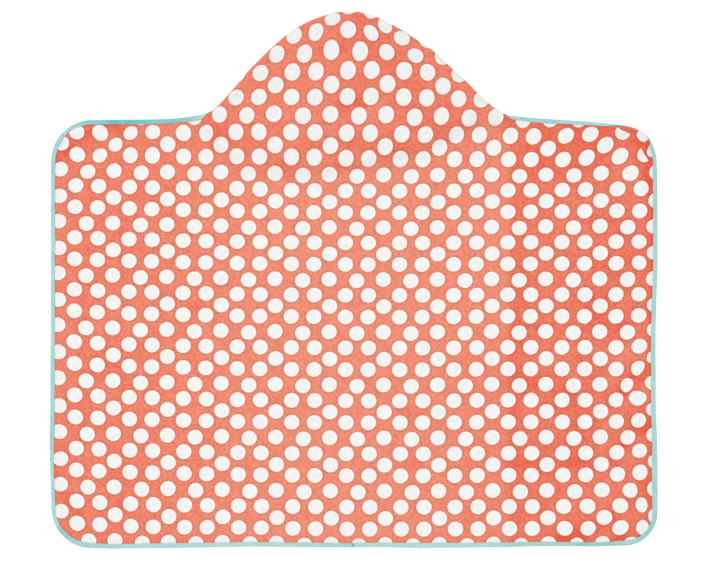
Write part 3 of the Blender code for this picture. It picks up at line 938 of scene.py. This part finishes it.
def fill_faces(start, places, count, flip):
    """Triangles between places, numbered from start: a closed border of count, and those inside."""
    loop = [(i, (i + 1) % count) for i in range(count)]
    _, _, found, origins, *_ = delaunay_2d_cdt([Vector(p) for p in places], loop, [], 1, 1e-7)
    order = -1 if flip else 1
    return [[start + origins[i][0] for i in face][::order] for face in found]


def inside(places, border, clear):
    """Which places are inside a closed border of points, and clear of it."""
    border = np.vstack([border, border[:1]])
    x, y = places.T
    within = np.zeros(len(places), bool)
    for a, b in zip(border, border[1:]):
        crosses = (a[1] > y) != (b[1] > y)
        if crosses.any():
            within ^= crosses & (x < a[0] + (y - a[1]) * (b[0] - a[0]) / (b[1] - a[1]))
    for gap, _ in from_spans(border, places):
        within &= gap > clear
    return within


TRIANGLE_HEIGHT = 0.866  # of an even triangle, as a share of its side


def lattice(border, pitch):
    """Places in staggered rows, a pitch apart, over the box of a border."""
    low, high = border.min(axis=0), border.max(axis=0)
    found = []
    for i, y in enumerate(np.arange(low[1], high[1], pitch * TRIANGLE_HEIGHT)):
        x = np.arange(low[0] + (i % 2) * pitch / 2, high[0], pitch)
        found.append(np.column_stack([x, np.full(len(x), y)]))
    return np.vstack(found)


TOP_PITCH = 4.6
BOTTOM_PITCH = 7.5
RIM_STEP = 4.6
RIM_ROWS = 6  # rows over the bend beside the edge
SETTLE_ROWS = 6  # rows from there to the inside of the edge strip
FRONT_STEP = 6.0
INNER_CLEAR = 0.6  # share of a pitch that the filling keeps from the last row
FRONT_RINGS = (0.0, 2.5, 6.0, 10.0)  # from the front panel's border towards its middle
FRONT_CLEAR = 3.5  # how far its filling keeps from the last of them
FRONT_WAVE = 0.25  # half the height of the waves on its upper side

Side = namedtuple("Side", "points down material")


def cloth_shell(name, sides, count, rows, places, materials, **attributes):
    """A cloth from its two sides, joined at the cut edge.

    The points of a side are rings of count points, in rows from the cut edge in, and then
    those inside the last ring.
    """
    faces, indices = [], []
    start = 0
    for side in sides:
        edge = (rows - 1) * count
        made = ring_faces(start, count, rows, side.down)
        made += fill_faces(start + edge, side.points[edge:, :2], count, side.down)
        faces += made
        indices += [side.material] * len(made)
        start += len(side.points)
    faces += band(0, len(sides[0].points), count, flip=True)
    indices += [sides[1].material] * count
    points = np.vstack([side.points for side in sides])
    return new_mesh(name, points, faces, print_place(places), materials, indices, **attributes)


def rim_depths(rim):
    """How far inside the cut edge the rows of the edge strip are, for each place."""
    straight, bend = rim.finish.straight, rim.finish.bend
    held = straight + bend
    rows = [0 * held, straight * 0.5, straight]
    rows += [straight + bend * i / RIM_ROWS for i in range(1, RIM_ROWS + 1)]
    rows += [held + (RIM_DEPTH - held) * i / SETTLE_ROWS for i in range(1, SETTLE_ROWS + 1)]
    return rows


def back_panel_cloth(face, reverse):
    """The whole towel in one cut: rim strips and a fine filling, above and below."""
    count = round(outline.length / RIM_STEP)
    rim = Rim(np.arange(count) * outline.length / count)
    depths = rim_depths(rim)
    sides, places = [], []
    for h, pitch, index in ((HALF, TOP_PITCH, 0), (-HALF, BOTTOM_PITCH, 1)):
        rings = [rim.point(depth, h) for depth in depths]
        inner = lattice(outline.points, pitch)
        inner = inner[inside(inner, rings[-1][:, :2], pitch * INNER_CLEAR)]
        middle = np.column_stack([inner, panel_height(inner) + h])
        sides.append(Side(lay(np.vstack([*rings, middle])), h < 0, index))
        places += [*(rim.cloth_place(depth) for depth in depths), inner]
    places = np.vstack(places)
    nap, dull = tone_and_painted_shade_of(places)
    shift, past = sharp_tucks(places)
    return cloth_shell(
        "towel_cloth",
        sides,
        count,
        len(depths),
        places,
        [face, reverse],
        nap=nap,
        dull=dull,
        past_crease=past,
        crease_shift=np.column_stack([-shift / CELL, 0 * past]),
    )


def along_mouth(step):
    """Distances along the mouth, about a step apart, from end to end of its tape."""
    run = mouth.length - 2 * MOUTH_TAPE_INSET
    return MOUTH_TAPE_INSET + run * np.linspace(0, 1, round(run / step))


def hood_front_cloth(face, reverse):
    """The panel under the dome, printed side down, with its mouth edge lifted by the tape."""
    seam = np.arange(seam_start, seam_end, FRONT_STEP)
    seam = np.append(seam[:-1], seam_end)
    edge, inward = mouth.at(along_mouth(FRONT_STEP))
    border = np.vstack([outline.at(seam)[0], edge + inward * TAPE_REACH])
    to_middle = unit(border.mean(axis=0) - border)
    rings = [border + to_middle * depth for depth in FRONT_RINGS]
    inner = lattice(border, FRONT_STEP)
    inner = inner[inside(inner, rings[-1], FRONT_CLEAR)]
    places = np.vstack([*rings, inner])
    gap, _ = mouth.nearest(places)
    rise = TAPE_REACH * (1 - rising(gap, TAPE_WIDTH, FRONT_SLOPE))
    wave = FRONT_WAVE * (1 + soft_noise(places, 34, 8)) * rising(gap, 0, 30)
    upper = np.column_stack([places, CLOTH + rise + wave])
    lower = np.column_stack([places, rise])
    nap = np.tile(tone_and_painted_shade_of(places)[0], 2)
    return cloth_shell(
        "hood_front_cloth",
        [Side(upper, False, 1), Side(lower, True, 0)],
        len(border),
        len(rings),
        np.vstack([places, places]),
        [face, reverse],
        nap=nap,
        dull=nap,
    )


# The top of a wing of the tape in section: (from its inner edge, above its flat part).
WING_TOP = [(0, -0.42), (0.25, -0.08), (0.8, 0), (1.6, -0.14), (2.6, 0.05), (3.9, 0.08)]
TAPE_BODY = HALF_STACK - 0.15  # height of its flat part above the cloth's middle
TAPE_BEND = 0.4  # how far inside the cut edge its bend begins
TAPE_GIRTH = 18.0  # once round its section, as its threads count it
SWELLING = 1.7  # how much of its wing swells inwards on the mouth
TAPE_STEP = 4.0
TAPE_ROWS = {"tape_right": 40, "tape_left": 80, "tape_hood": 120}  # of the noise that swells it
NEAR_THE_END = np.array([1.3, 2.6])  # more sections, for the painted shade at the join in the hem

# Where along the outline the tape shows wider (or narrower), in millimetres, and where its
# colour is deeper (or paler): at a distance from the middle of the hem, fading over reach.
Spot = namedtuple("Spot", "at reach more")
TAPE_SPARE = 0.35  # how much wider it shows than its solid, all round
WIDER = table(
    Spot,
    (20, 30, -0.7), (130, 130, 0.8), (325, 50, -0.6), (380, 40, -0.8), (418, 16, -1.2),
    (445, 22, 1.2), (590, 55, 2.2), (700, 60, 0.4), (950, 110, -0.5), (1070, 40, -0.4),
    (1108, 16, -1.5), (1222, 36, -1.9), (1252, 18, -0.9), (1290, 22, -1.4), (1368, 18, -1.2),
    (2016, 16, 0.8), (2120, 90, 0.4), (2234, 14, -1.4), (2267, 14, 1.6), (2390, 110, -0.8),
    (2432, 12, 1.1), (2492, 16, -0.7), (2590, 80, -0.8), (2740, 12, 1.1), (2820, 60, -1.5),
    (2890, 30, -0.8), (2960, 26, 1.4), (3150, 130, 0.3), (3388, 26, -0.7),
)
# The first two spots are painted shade at the join in the hem.
DEEPER = table(
    Spot,
    (0, 1.2, 0.6), (outline.length - 0.6, 2.4, 0.9), (100, 90, -0.15), (330, 60, 0.13),
    (405, 36, 0.22), (490, 40, 0.08), (1085, 36, 0.14), (1325, 50, 0.21), (2045, 36, 0.28),
    (2115, 56, 0.44), (2180, 50, 0.24), (2290, 60, 0.09), (2925, 36, 0.20), (3180, 100, -0.08),
    (3340, 50, -0.08),
)


def spread(spots, distance):
    """What the spots add up to at distances along the outline."""
    total = np.zeros(len(distance))
    for spot in spots:
        total += spot.more * bell((distance - spot.at) / spot.reach)
    return total


def tape_section(swell, share):
    """The folded tape in section, all along it, with a share of the swell on its outside.

    Each point of it is (inside the cut edge, above the cloth's middle).
    """
    outer = [(WING - d, TAPE_BODY + h) for d, h in WING_TOP] + [(TAPE_BEND, TAPE_BODY)]
    for degrees in (62, 42, 22, 7):
        a = math.radians(degrees)
        outer.append((TAPE_BEND - (TAPE_REACH + TAPE_BEND) * math.cos(a), HALF_STACK * math.sin(a)))
    inner = [(-SEAM_GAP, HALF + SEAM_GAP), (WING, HALF + SEAM_GAP)]
    section = outer + [(d, -h) for d, h in reversed(outer)]
    section += [(d, -h) for d, h in reversed(inner)] + inner
    for d, h in section:
        outside = abs(h) > HALF + SEAM_GAP + 0.01
        yield d, h + np.sign(h) * swell * (share if outside else 0.0)


def tape_pucker(name, distance):
    """How much a tape swells or narrows along it, in millimetres."""
    return clouds(in_row(distance, TAPE_ROWS[name]), (0.16, 9, 11), (0.14, 23, 12))


def off_floor(points):
    """The points, with those under the floor raised to it."""
    return np.maximum(points, (-np.inf, -np.inf, 0))


def tape_mesh(name, points, distance, material, wear_and_shade):
    """The tape through rings of points, one at each distance, closed at both ends."""
    rows = len(distance)
    count = len(points) // rows
    faces = tube_faces(0, count, rows)
    around = np.linspace(0, TAPE_GIRTH, count)
    uvs = np.column_stack([np.repeat(distance, count), np.tile(around, rows)])
    indices = [0] * len(faces)
    nap = np.repeat(wear_and_shade, count)
    return new_mesh(name, off_floor(points), faces, uvs, [material], indices, nap=nap)


def edge_tape(name, start, end, material):
    """The tape on the back panel's edge, with a colour that is deeper here and there, and painted
    shade at its join in the hem.
    """
    distance = np.linspace(start, end, round((end - start) / TAPE_STEP))
    distance = np.sort([*distance, *(start + NEAR_THE_END), *(end - NEAR_THE_END)])
    rim = Rim(distance)
    swell = tape_pucker(name, distance)
    wider = swell + TAPE_SPARE + spread(WIDER, distance)
    section = [
        rim.point(d + wider * max(d / TAPE_WIDTH, 0), h) for d, h in tape_section(swell, 0.6)
    ]
    wear_and_shade = 0.36 + clouds(in_row(distance), (0.07, 60, 21), (0.09, 15, 22))
    wear_and_shade = np.clip(wear_and_shade + spread(DEEPER, distance), 0.0, 1.0)
    points = lay(np.stack(section, axis=1).reshape(-1, 3))
    return tape_mesh(name, points, distance, material, wear_and_shade)


def mouth_tape(material):
    """The tape on the mouth of the hood, which lies on the floor with the panel it binds."""
    distance = along_mouth(TAPE_STEP)
    edge, inward = mouth.at(distance)
    swell = tape_pucker("tape_hood", distance)
    section = []
    for d, h in tape_section(swell, 0.4):
        plan = edge + inward * (d + TAPE_REACH + swell * (d > WING - SWELLING))[:, None]
        section.append(np.column_stack([plan, HALF_STACK + h]))
    wear_and_shade = 0.4 + clouds(in_row(distance), (0.2, 40, 23))
    points = np.stack(section, axis=1).reshape(-1, 3)
    return tape_mesh("tape_hood", points, distance, material, wear_and_shade)


STITCH_PITCH = 3.2
STITCH_LENGTH = 2.3
STITCH_INSET = 1.6  # from the tape's inner edge
STITCH_END = 4.0  # from the end of a tape to the end of its row
STITCH_HALF_WIDTH = 0.28
STITCH_FLATNESS = 0.7  # its thickness, as a share of its width
STITCH_HEIGHT = HALF_STACK - 0.1  # above the cloth's middle
STITCH_SIDES = 6

# A stitch in section: how far along it, how wide there, and how far up.
Ring = namedtuple("Ring", "share wide up")
STITCH = table(
    Ring,
    (0, 0.15, -0.175),
    (0.12, 0.75, -0.06),
    (0.5, 1, 0.05),
    (0.88, 0.75, -0.06),
    (1, 0.15, -0.175),
)


def stitch_row(name, places_at, start, end, material):
    """Small stitches above and below: places_at(distance, side) says where they are."""
    count = int((end - 2 * STITCH_END - start) / STITCH_PITCH)
    first = start + STITCH_END + (np.arange(count) + 0.5) * STITCH_PITCH - STITCH_LENGTH / 2
    around = np.linspace(0, 2 * math.pi, STITCH_SIDES, endpoint=False)
    points = []
    for side in (1, -1):
        middles = [places_at(first + STITCH_LENGTH * ring.share, side) for ring in STITCH]
        along = unit(middles[-1] - middles[0])
        across = unit(np.cross(along, (0, 0, side)))
        up = np.cross(across, along)
        rings = []
        for middle, ring in zip(middles, STITCH):
            for a in around:
                offset = across * math.cos(a) + up * STITCH_FLATNESS * math.sin(a)
                rings.append(middle + up * ring.up + offset * STITCH_HALF_WIDTH * ring.wide)
        points.append(np.stack(rings, axis=1).reshape(-1, 3))
    points = off_floor(np.vstack(points))
    faces = []
    for stitch in range(0, len(points), len(STITCH) * STITCH_SIDES):
        faces += tube_faces(stitch, STITCH_SIDES, len(STITCH))
    uvs = points[:, :2] / STITCH_PITCH
    return new_mesh(name, points, faces, uvs, [material], [0] * len(faces))


def edge_stitches(name, start, end, material):
    def places_at(distance, side):
        depth = WING - STITCH_INSET + spread(WIDER, distance)
        return lay(Rim(distance).point(depth, side * STITCH_HEIGHT))

    return stitch_row(name, places_at, start, end, material)


def mouth_stitches(material):
    def places_at(distance, side):
        edge, inward = mouth.at(distance)
        plan = edge + inward * (TAPE_WIDTH - STITCH_INSET)
        return np.column_stack([plan, np.full(len(plan), HALF_STACK + side * STITCH_HEIGHT)])

    ends = MOUTH_TAPE_INSET, mouth.length - MOUTH_TAPE_INSET
    return stitch_row("stitches_hood", places_at, *ends, material)


# ---- materials

CORAL = (0.690, 0.218, 0.143, 1)
DEEP_CORAL = (0.650, 0.081, 0.040, 1)
OUTLINE_TINT = (0.80, 0.94, 0.94, 1)
WHITE = (0.716, 0.711, 0.704, 1)
WHITE_RIM = (0.786, 0.741, 0.711, 1)
GREY = (0.610, 0.595, 0.590, 1)
LOOP_WHITE = (0.690, 0.675, 0.650, 1)
LOOP_SHADE = (0.56, 0.53, 0.50, 1)
LOOP_LIGHT = (0.84, 0.82, 0.80, 1)
BLUSH = (0.82, 0.50, 0.42, 1)
MINT = (0.450, 0.625, 0.620, 1)
DEEP_MINT = (0.090, 0.400, 0.410, 1)
STITCH_MINT = (0.480, 0.660, 0.655, 1)
PAPER = (0.93, 0.93, 0.93, 1)
PAPER_LIGHT = (0.95, 0.95, 0.95, 1)
GRAIN = 0.80  # how much the pile's lightness varies from tuft to tuft
RIB_PITCH = 0.55  # of the tape's weave, along it
THREAD_PITCH = 0.42  # and across it


class Graph:
    """Short calls for a material's nodes."""

    def __init__(self, name):
        self.material = bpy.data.materials.new(name)
        self.material.use_nodes = True
        self.tree = self.material.node_tree

    def finish(self, inputs):
        """Fill the shader's sockets, by name, and give the material."""
        for name, value in inputs.items():
            self.put(self.tree.nodes["Principled BSDF"].inputs[name], value)
        return self.material

    def node(self, kind, inputs=(), **settings):
        made = self.tree.nodes.new(kind)
        for key, value in settings.items():
            setattr(made, key, value)
        for slot, value in dict(inputs).items():
            self.put(made.inputs[slot], value)
        return made

    def put(self, socket, value):
        if isinstance(value, bpy.types.NodeSocket):
            self.tree.links.new(value, socket)
        else:
            socket.default_value = value

    def math(self, operation, a, b=0.0, c=0.0, clamp=False):
        inputs = {0: a, 1: b, 2: c}
        made = self.node("ShaderNodeMath", inputs, operation=operation, use_clamp=clamp)
        return made.outputs[0]

    def plus(self, base, value, share, clamp=False):
        """A base, and a share of a value."""
        return self.math("MULTIPLY_ADD", value, share, base, clamp)

    def uneven(self, base, noise, amount):
        """A base that a noise makes more or less, by half of an amount at most."""
        return self.plus(base, self.math("SUBTRACT", noise, 0.5), amount)

    def rest(self, value, share=1.0):
        """1 less a share of a value."""
        return self.math("SUBTRACT", 1.0, self.math("MULTIPLY", value, share))

    def vector(self, operation, a, b=(0, 0, 0)):
        made = self.node("ShaderNodeVectorMath", {0: a, 1: b}, operation=operation)
        return made.outputs["Value" if operation == "LENGTH" else "Vector"]

    def scaled(self, colour, share):
        made = self.node("ShaderNodeVectorMath", {0: colour, "Scale": share}, operation="SCALE")
        return made.outputs["Vector"]

    def turned(self, place, scale, degrees):
        """A place scaled and then turned about Z."""
        inputs = {"Vector": place, "Scale": scale, "Rotation": (0, 0, math.radians(degrees))}
        return self.node("ShaderNodeMapping", inputs).outputs["Vector"]

    def ramp(self, value, low, high):
        """0 below low and 1 above high, smooth between them."""
        inputs = {"Value": value, "From Min": low, "From Max": high}
        made = self.node("ShaderNodeMapRange", inputs, interpolation_type="SMOOTHSTEP")
        return made.outputs["Result"]

    def mix(self, share, a, b, blend="MIX"):
        made = self.node("ShaderNodeMix", data_type="RGBA", blend_type=blend)
        for slot, value in ((0, share), (6, a), (7, b)):
            self.put(made.inputs[slot], value)
        return made.outputs[2]

    def noise(self, scale, detail, place, roughness=0.5):
        inputs = {"Vector": place, "Scale": scale, "Detail": detail, "Roughness": roughness}
        return self.node("ShaderNodeTexNoise", inputs).outputs["Fac"]

    def place(self):
        return self.node("ShaderNodeTexCoord").outputs["Object"]

    def uv(self):
        return self.node("ShaderNodeUVMap", uv_map="print").outputs["UV"]

    def bump(self, height, strength, distance):
        inputs = {"Height": height, "Strength": strength, "Distance": distance}
        return self.node("ShaderNodeBump", inputs).outputs["Normal"]

    def attribute(self, name, output="Fac"):
        return self.node("ShaderNodeAttribute", attribute_name=name).outputs[output]


def dot_distance(g):
    """How far the cloth is from the middle of the nearest dot, in millimetres."""
    past = g.math("GREATER_THAN", g.attribute("past_crease"), 0.0)
    shift = g.scaled(g.attribute("crease_shift", "Vector"), past)
    uv = g.vector("ADD", g.uv(), shift)
    nearest = None
    for dot in DOTS:
        shifted = g.vector("SUBTRACT", uv, (dot.across - 0.5, dot.up - 0.5, 0))
        wrapped = g.vector("SUBTRACT", g.vector("FRACTION", shifted), (0.5, 0.5, 0))
        turned = g.turned(wrapped, (CELL[0], CELL[1], 0), -DOT_TILT)
        gap = g.vector("LENGTH", g.vector("MULTIPLY", turned, (1 - DOT_OVAL, 1 + DOT_OVAL, 0)))
        nearest = gap if nearest is None else g.math("MINIMUM", nearest, gap)
    return nearest


def printed_terry():
    """Sheared pile with the dot print. The pile is finer than a dot's edge is sharp."""
    g = Graph("printed_terry")
    place = g.place()
    ragged = g.uneven(dot_distance(g), g.noise(420.0, 2.0, place), 1.1)
    edge = g.math("SUBTRACT", ragged, DOT_DIAMETER / 2)
    white = g.rest(g.ramp(edge, -0.55, 0.55))
    beyond = g.math("ABSOLUTE", g.math("SUBTRACT", edge, 1.9))
    ring = g.rest(g.ramp(beyond, 0.0, 2.1))
    rim = g.ramp(edge, -3.2, -1.2)

    tufts = g.noise(900.0, 2.0, place)
    speck = g.math("SUBTRACT", g.noise(300.0, 3.0, place, 0.65), 0.5)
    # The attribute deepens the coral: its own tone, with painted shade and light in creases and
    # dips, and painted shadow beside the tape.
    shade = g.uneven(g.attribute("nap"), g.noise(85.0, 3.0, place), 0.35)
    shade = g.math("SUBTRACT", shade, speck, clamp=True)
    coral = g.mix(shade, CORAL, DEEP_CORAL)
    coral = g.mix(ring, coral, OUTLINE_TINT, "MULTIPLY")
    # The white dots go grey by the other attribute: greyer over the hood, with painted shade near
    # the edge and beside the tape.
    grey = g.plus(g.math("MULTIPLY", tufts, 0.1), g.attribute("dull"), 0.4)
    dots = g.mix(grey, g.mix(rim, WHITE, WHITE_RIM), GREY)
    grain = g.math("MULTIPLY", speck, g.math("MULTIPLY", g.rest(white, 0.42), GRAIN))
    colour = g.scaled(g.mix(white, coral, dots), g.math("ADD", 1.0, grain))

    pile = g.math("MULTIPLY", g.noise(1500.0, 2.0, place, 0.6), 0.6)
    height = g.plus(g.plus(pile, g.noise(240.0, 2.0, place), 0.7), ring, -0.25)
    return g.finish(
        {
            "Base Color": colour,
            "Normal": g.bump(height, 0.6, 0.0010),
            "Roughness": g.plus(0.82, tufts, 0.14),
            "Sheen Weight": 0.22,
            "Sheen Roughness": 0.45,
            "Specular IOR Level": 0.15,
        }
    )


def loop_terry():
    """The plain reverse: uncut loops in rows, a little uneven, with colour struck through."""
    g = Graph("loop_terry")
    place = g.place()
    stretch = g.vector("MULTIPLY", place, (1.0, 0.72, 1.0))
    loops = g.node("ShaderNodeTexVoronoi", {"Vector": stretch, "Scale": 560.0, "Randomness": 0.55})
    gap = loops.outputs["Distance"]
    mottle = g.noise(60.0, 3.0, place)
    blush = g.math("MULTIPLY", g.noise(9.0, 1.0, g.uv()), 0.10)
    cloth = g.mix(g.ramp(gap, 0.10, 0.75), LOOP_WHITE, LOOP_SHADE)
    cloth = g.mix(g.math("MULTIPLY", mottle, 0.12), cloth, LOOP_LIGHT)
    return g.finish(
        {
            "Base Color": g.mix(blush, cloth, BLUSH),
            "Normal": g.bump(g.rest(gap), 0.8, 0.0012),
            "Roughness": g.plus(0.85, mottle, 0.12),
            "Sheen Weight": 0.25,
            "Sheen Roughness": 0.5,
            "Specular IOR Level": 0.12,
        }
    )


def binding_tape():
    """Plain woven cotton tape: fine ribs across it, deeper where it is worn, with painted shade at
    its join in the hem.
    """
    g = Graph("binding_tape")
    place = g.place()
    split = g.node("ShaderNodeSeparateXYZ", {"Vector": g.uv()})
    ribs = g.math("SINE", g.math("MULTIPLY", split.outputs["X"], 2 * math.pi / RIB_PITCH))
    threads = g.math("SINE", g.math("MULTIPLY", split.outputs["Y"], 2 * math.pi / THREAD_PITCH))
    woven = g.math("MULTIPLY", ribs, threads)
    fleck = g.noise(1100.0, 2.0, place)
    mottle = g.noise(110.0, 3.0, place)
    # The attribute deepens the tape where it is worn, and with painted shade at its join in the
    # hem.
    shade = g.uneven(g.uneven(g.attribute("nap"), mottle, 0.5), fleck, 0.35)
    shade = g.plus(shade, woven, -0.08, clamp=True)
    return g.finish(
        {
            "Base Color": g.mix(shade, MINT, DEEP_MINT),
            "Normal": g.bump(g.plus(woven, mottle, 2.0), 0.35, 0.00035),
            "Roughness": g.plus(0.62, fleck, 0.2),
            "Sheen Weight": 0.12,
            "Specular IOR Level": 0.3,
        }
    )


def stitching():
    """Twisted polyester thread."""
    g = Graph("stitching")
    twist = g.noise(2600.0, 1.0, g.place())
    return g.finish(
        {
            "Base Color": g.mix(g.ramp(twist, 0.3, 0.7), STITCH_MINT, MINT),
            "Normal": g.bump(twist, 0.5, 0.0001),
            "Roughness": g.plus(0.42, twist, 0.15),
            "Specular IOR Level": 0.4,
        }
    )


def floor_paper():
    """Plain pale paper under the towel."""
    g = Graph("floor_paper")
    colour = g.mix(g.noise(12.0, 3.0, g.place()), PAPER, PAPER_LIGHT)
    return g.finish({"Base Color": colour, "Roughness": 0.95, "Specular IOR Level": 0.0})


# ---- pieces

terry, loops, tape, thread = printed_terry(), loop_terry(), binding_tape(), stitching()
right_half = SEAM_GAP / 2, outline.named["right_base"] - TAPE_END
left_half = outline.named["left_base"] + TAPE_END, outline.length - SEAM_GAP / 2

cloth = back_panel_cloth(terry, loops)
front = hood_front_cloth(terry, loops)
tape_right = edge_tape("tape_right", *right_half, tape)
tape_left = edge_tape("tape_left", *left_half, tape)
tape_hood = mouth_tape(tape)
stitches_right = edge_stitches("stitches_right", *right_half, thread)
stitches_left = edge_stitches("stitches_left", *left_half, thread)
stitches_hood = mouth_stitches(thread)

stands_for = [
    (cloth, "back_panel", "printed_terry"),
    (front, "hood_front", "printed_terry"),
    (tape_right, "binding_right", "binding_tape"),
    (tape_left, "binding_left", "binding_tape"),
    (tape_hood, "binding_hood", "binding_tape"),
]
for piece, node, slot in stands_for:
    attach(piece, "root")
    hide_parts(node)
for piece in (stitches_right, stitches_left, stitches_hood):
    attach(piece, "root")

# ---- stage, light, camera

FLOOR_HALF = 8.0
FLOOR_DROP = 0.0002
WORLD_STRENGTH = 0.84
VIEW_WIDTH = 1.168  # of the floor that the camera sees, across
VIEW_SHIFT = Vector((0.0014, -0.0056))  # from the middle of the towel
CAMERA_HEIGHT = 6.0
SENSOR_WIDTH = 36.0


def paper_floor():
    mesh = bpy.data.meshes.new("floor")
    corners = [(-1, -1), (1, -1), (1, 1), (-1, 1)]
    points = [(x * FLOOR_HALF, y * FLOOR_HALF, 0) for x, y in corners]
    mesh.from_pydata(points, [], [(0, 1, 2, 3)])
    mesh.materials.append(floor_paper())
    made = add_object("floor", mesh)
    made.location.z = -FLOOR_DROP
    return made


def area_light(name, location, size, power):
    light = bpy.data.lights.new(name, "AREA")
    light.shape = "SQUARE"
    light.size = size
    light.energy = power
    made = add_object(name, light)
    made.location = location
    made.rotation_euler = Vector(location).to_track_quat("Z", "Y").to_euler()


def white_world():
    world = bpy.data.worlds.new("studio")
    world.use_nodes = True
    background = world.node_tree.nodes["Background"]
    background.inputs["Color"].default_value = (1, 1, 1, 1)
    background.inputs["Strength"].default_value = WORLD_STRENGTH
    return world


def overhead_camera():
    camera = bpy.data.cameras.new("camera")
    camera.sensor_width = SENSOR_WIDTH
    camera.lens = SENSOR_WIDTH * CAMERA_HEIGHT / VIEW_WIDTH
    low, high = cad_box
    made = add_object("camera", camera)
    made.location = (*((low.xy + high.xy) / 2 + VIEW_SHIFT), CAMERA_HEIGHT)
    return made


floor = paper_floor()
area_light("window_light", (-5.0, 4.5, 5.0), 2.5, 90)
area_light("overhead_light", (-0.3, 0.3, 7.5), 3.0, 230)
bpy.context.scene.world = white_world()
bpy.context.scene.view_settings.view_transform = "Standard"
bpy.context.scene.camera = overhead_camera()
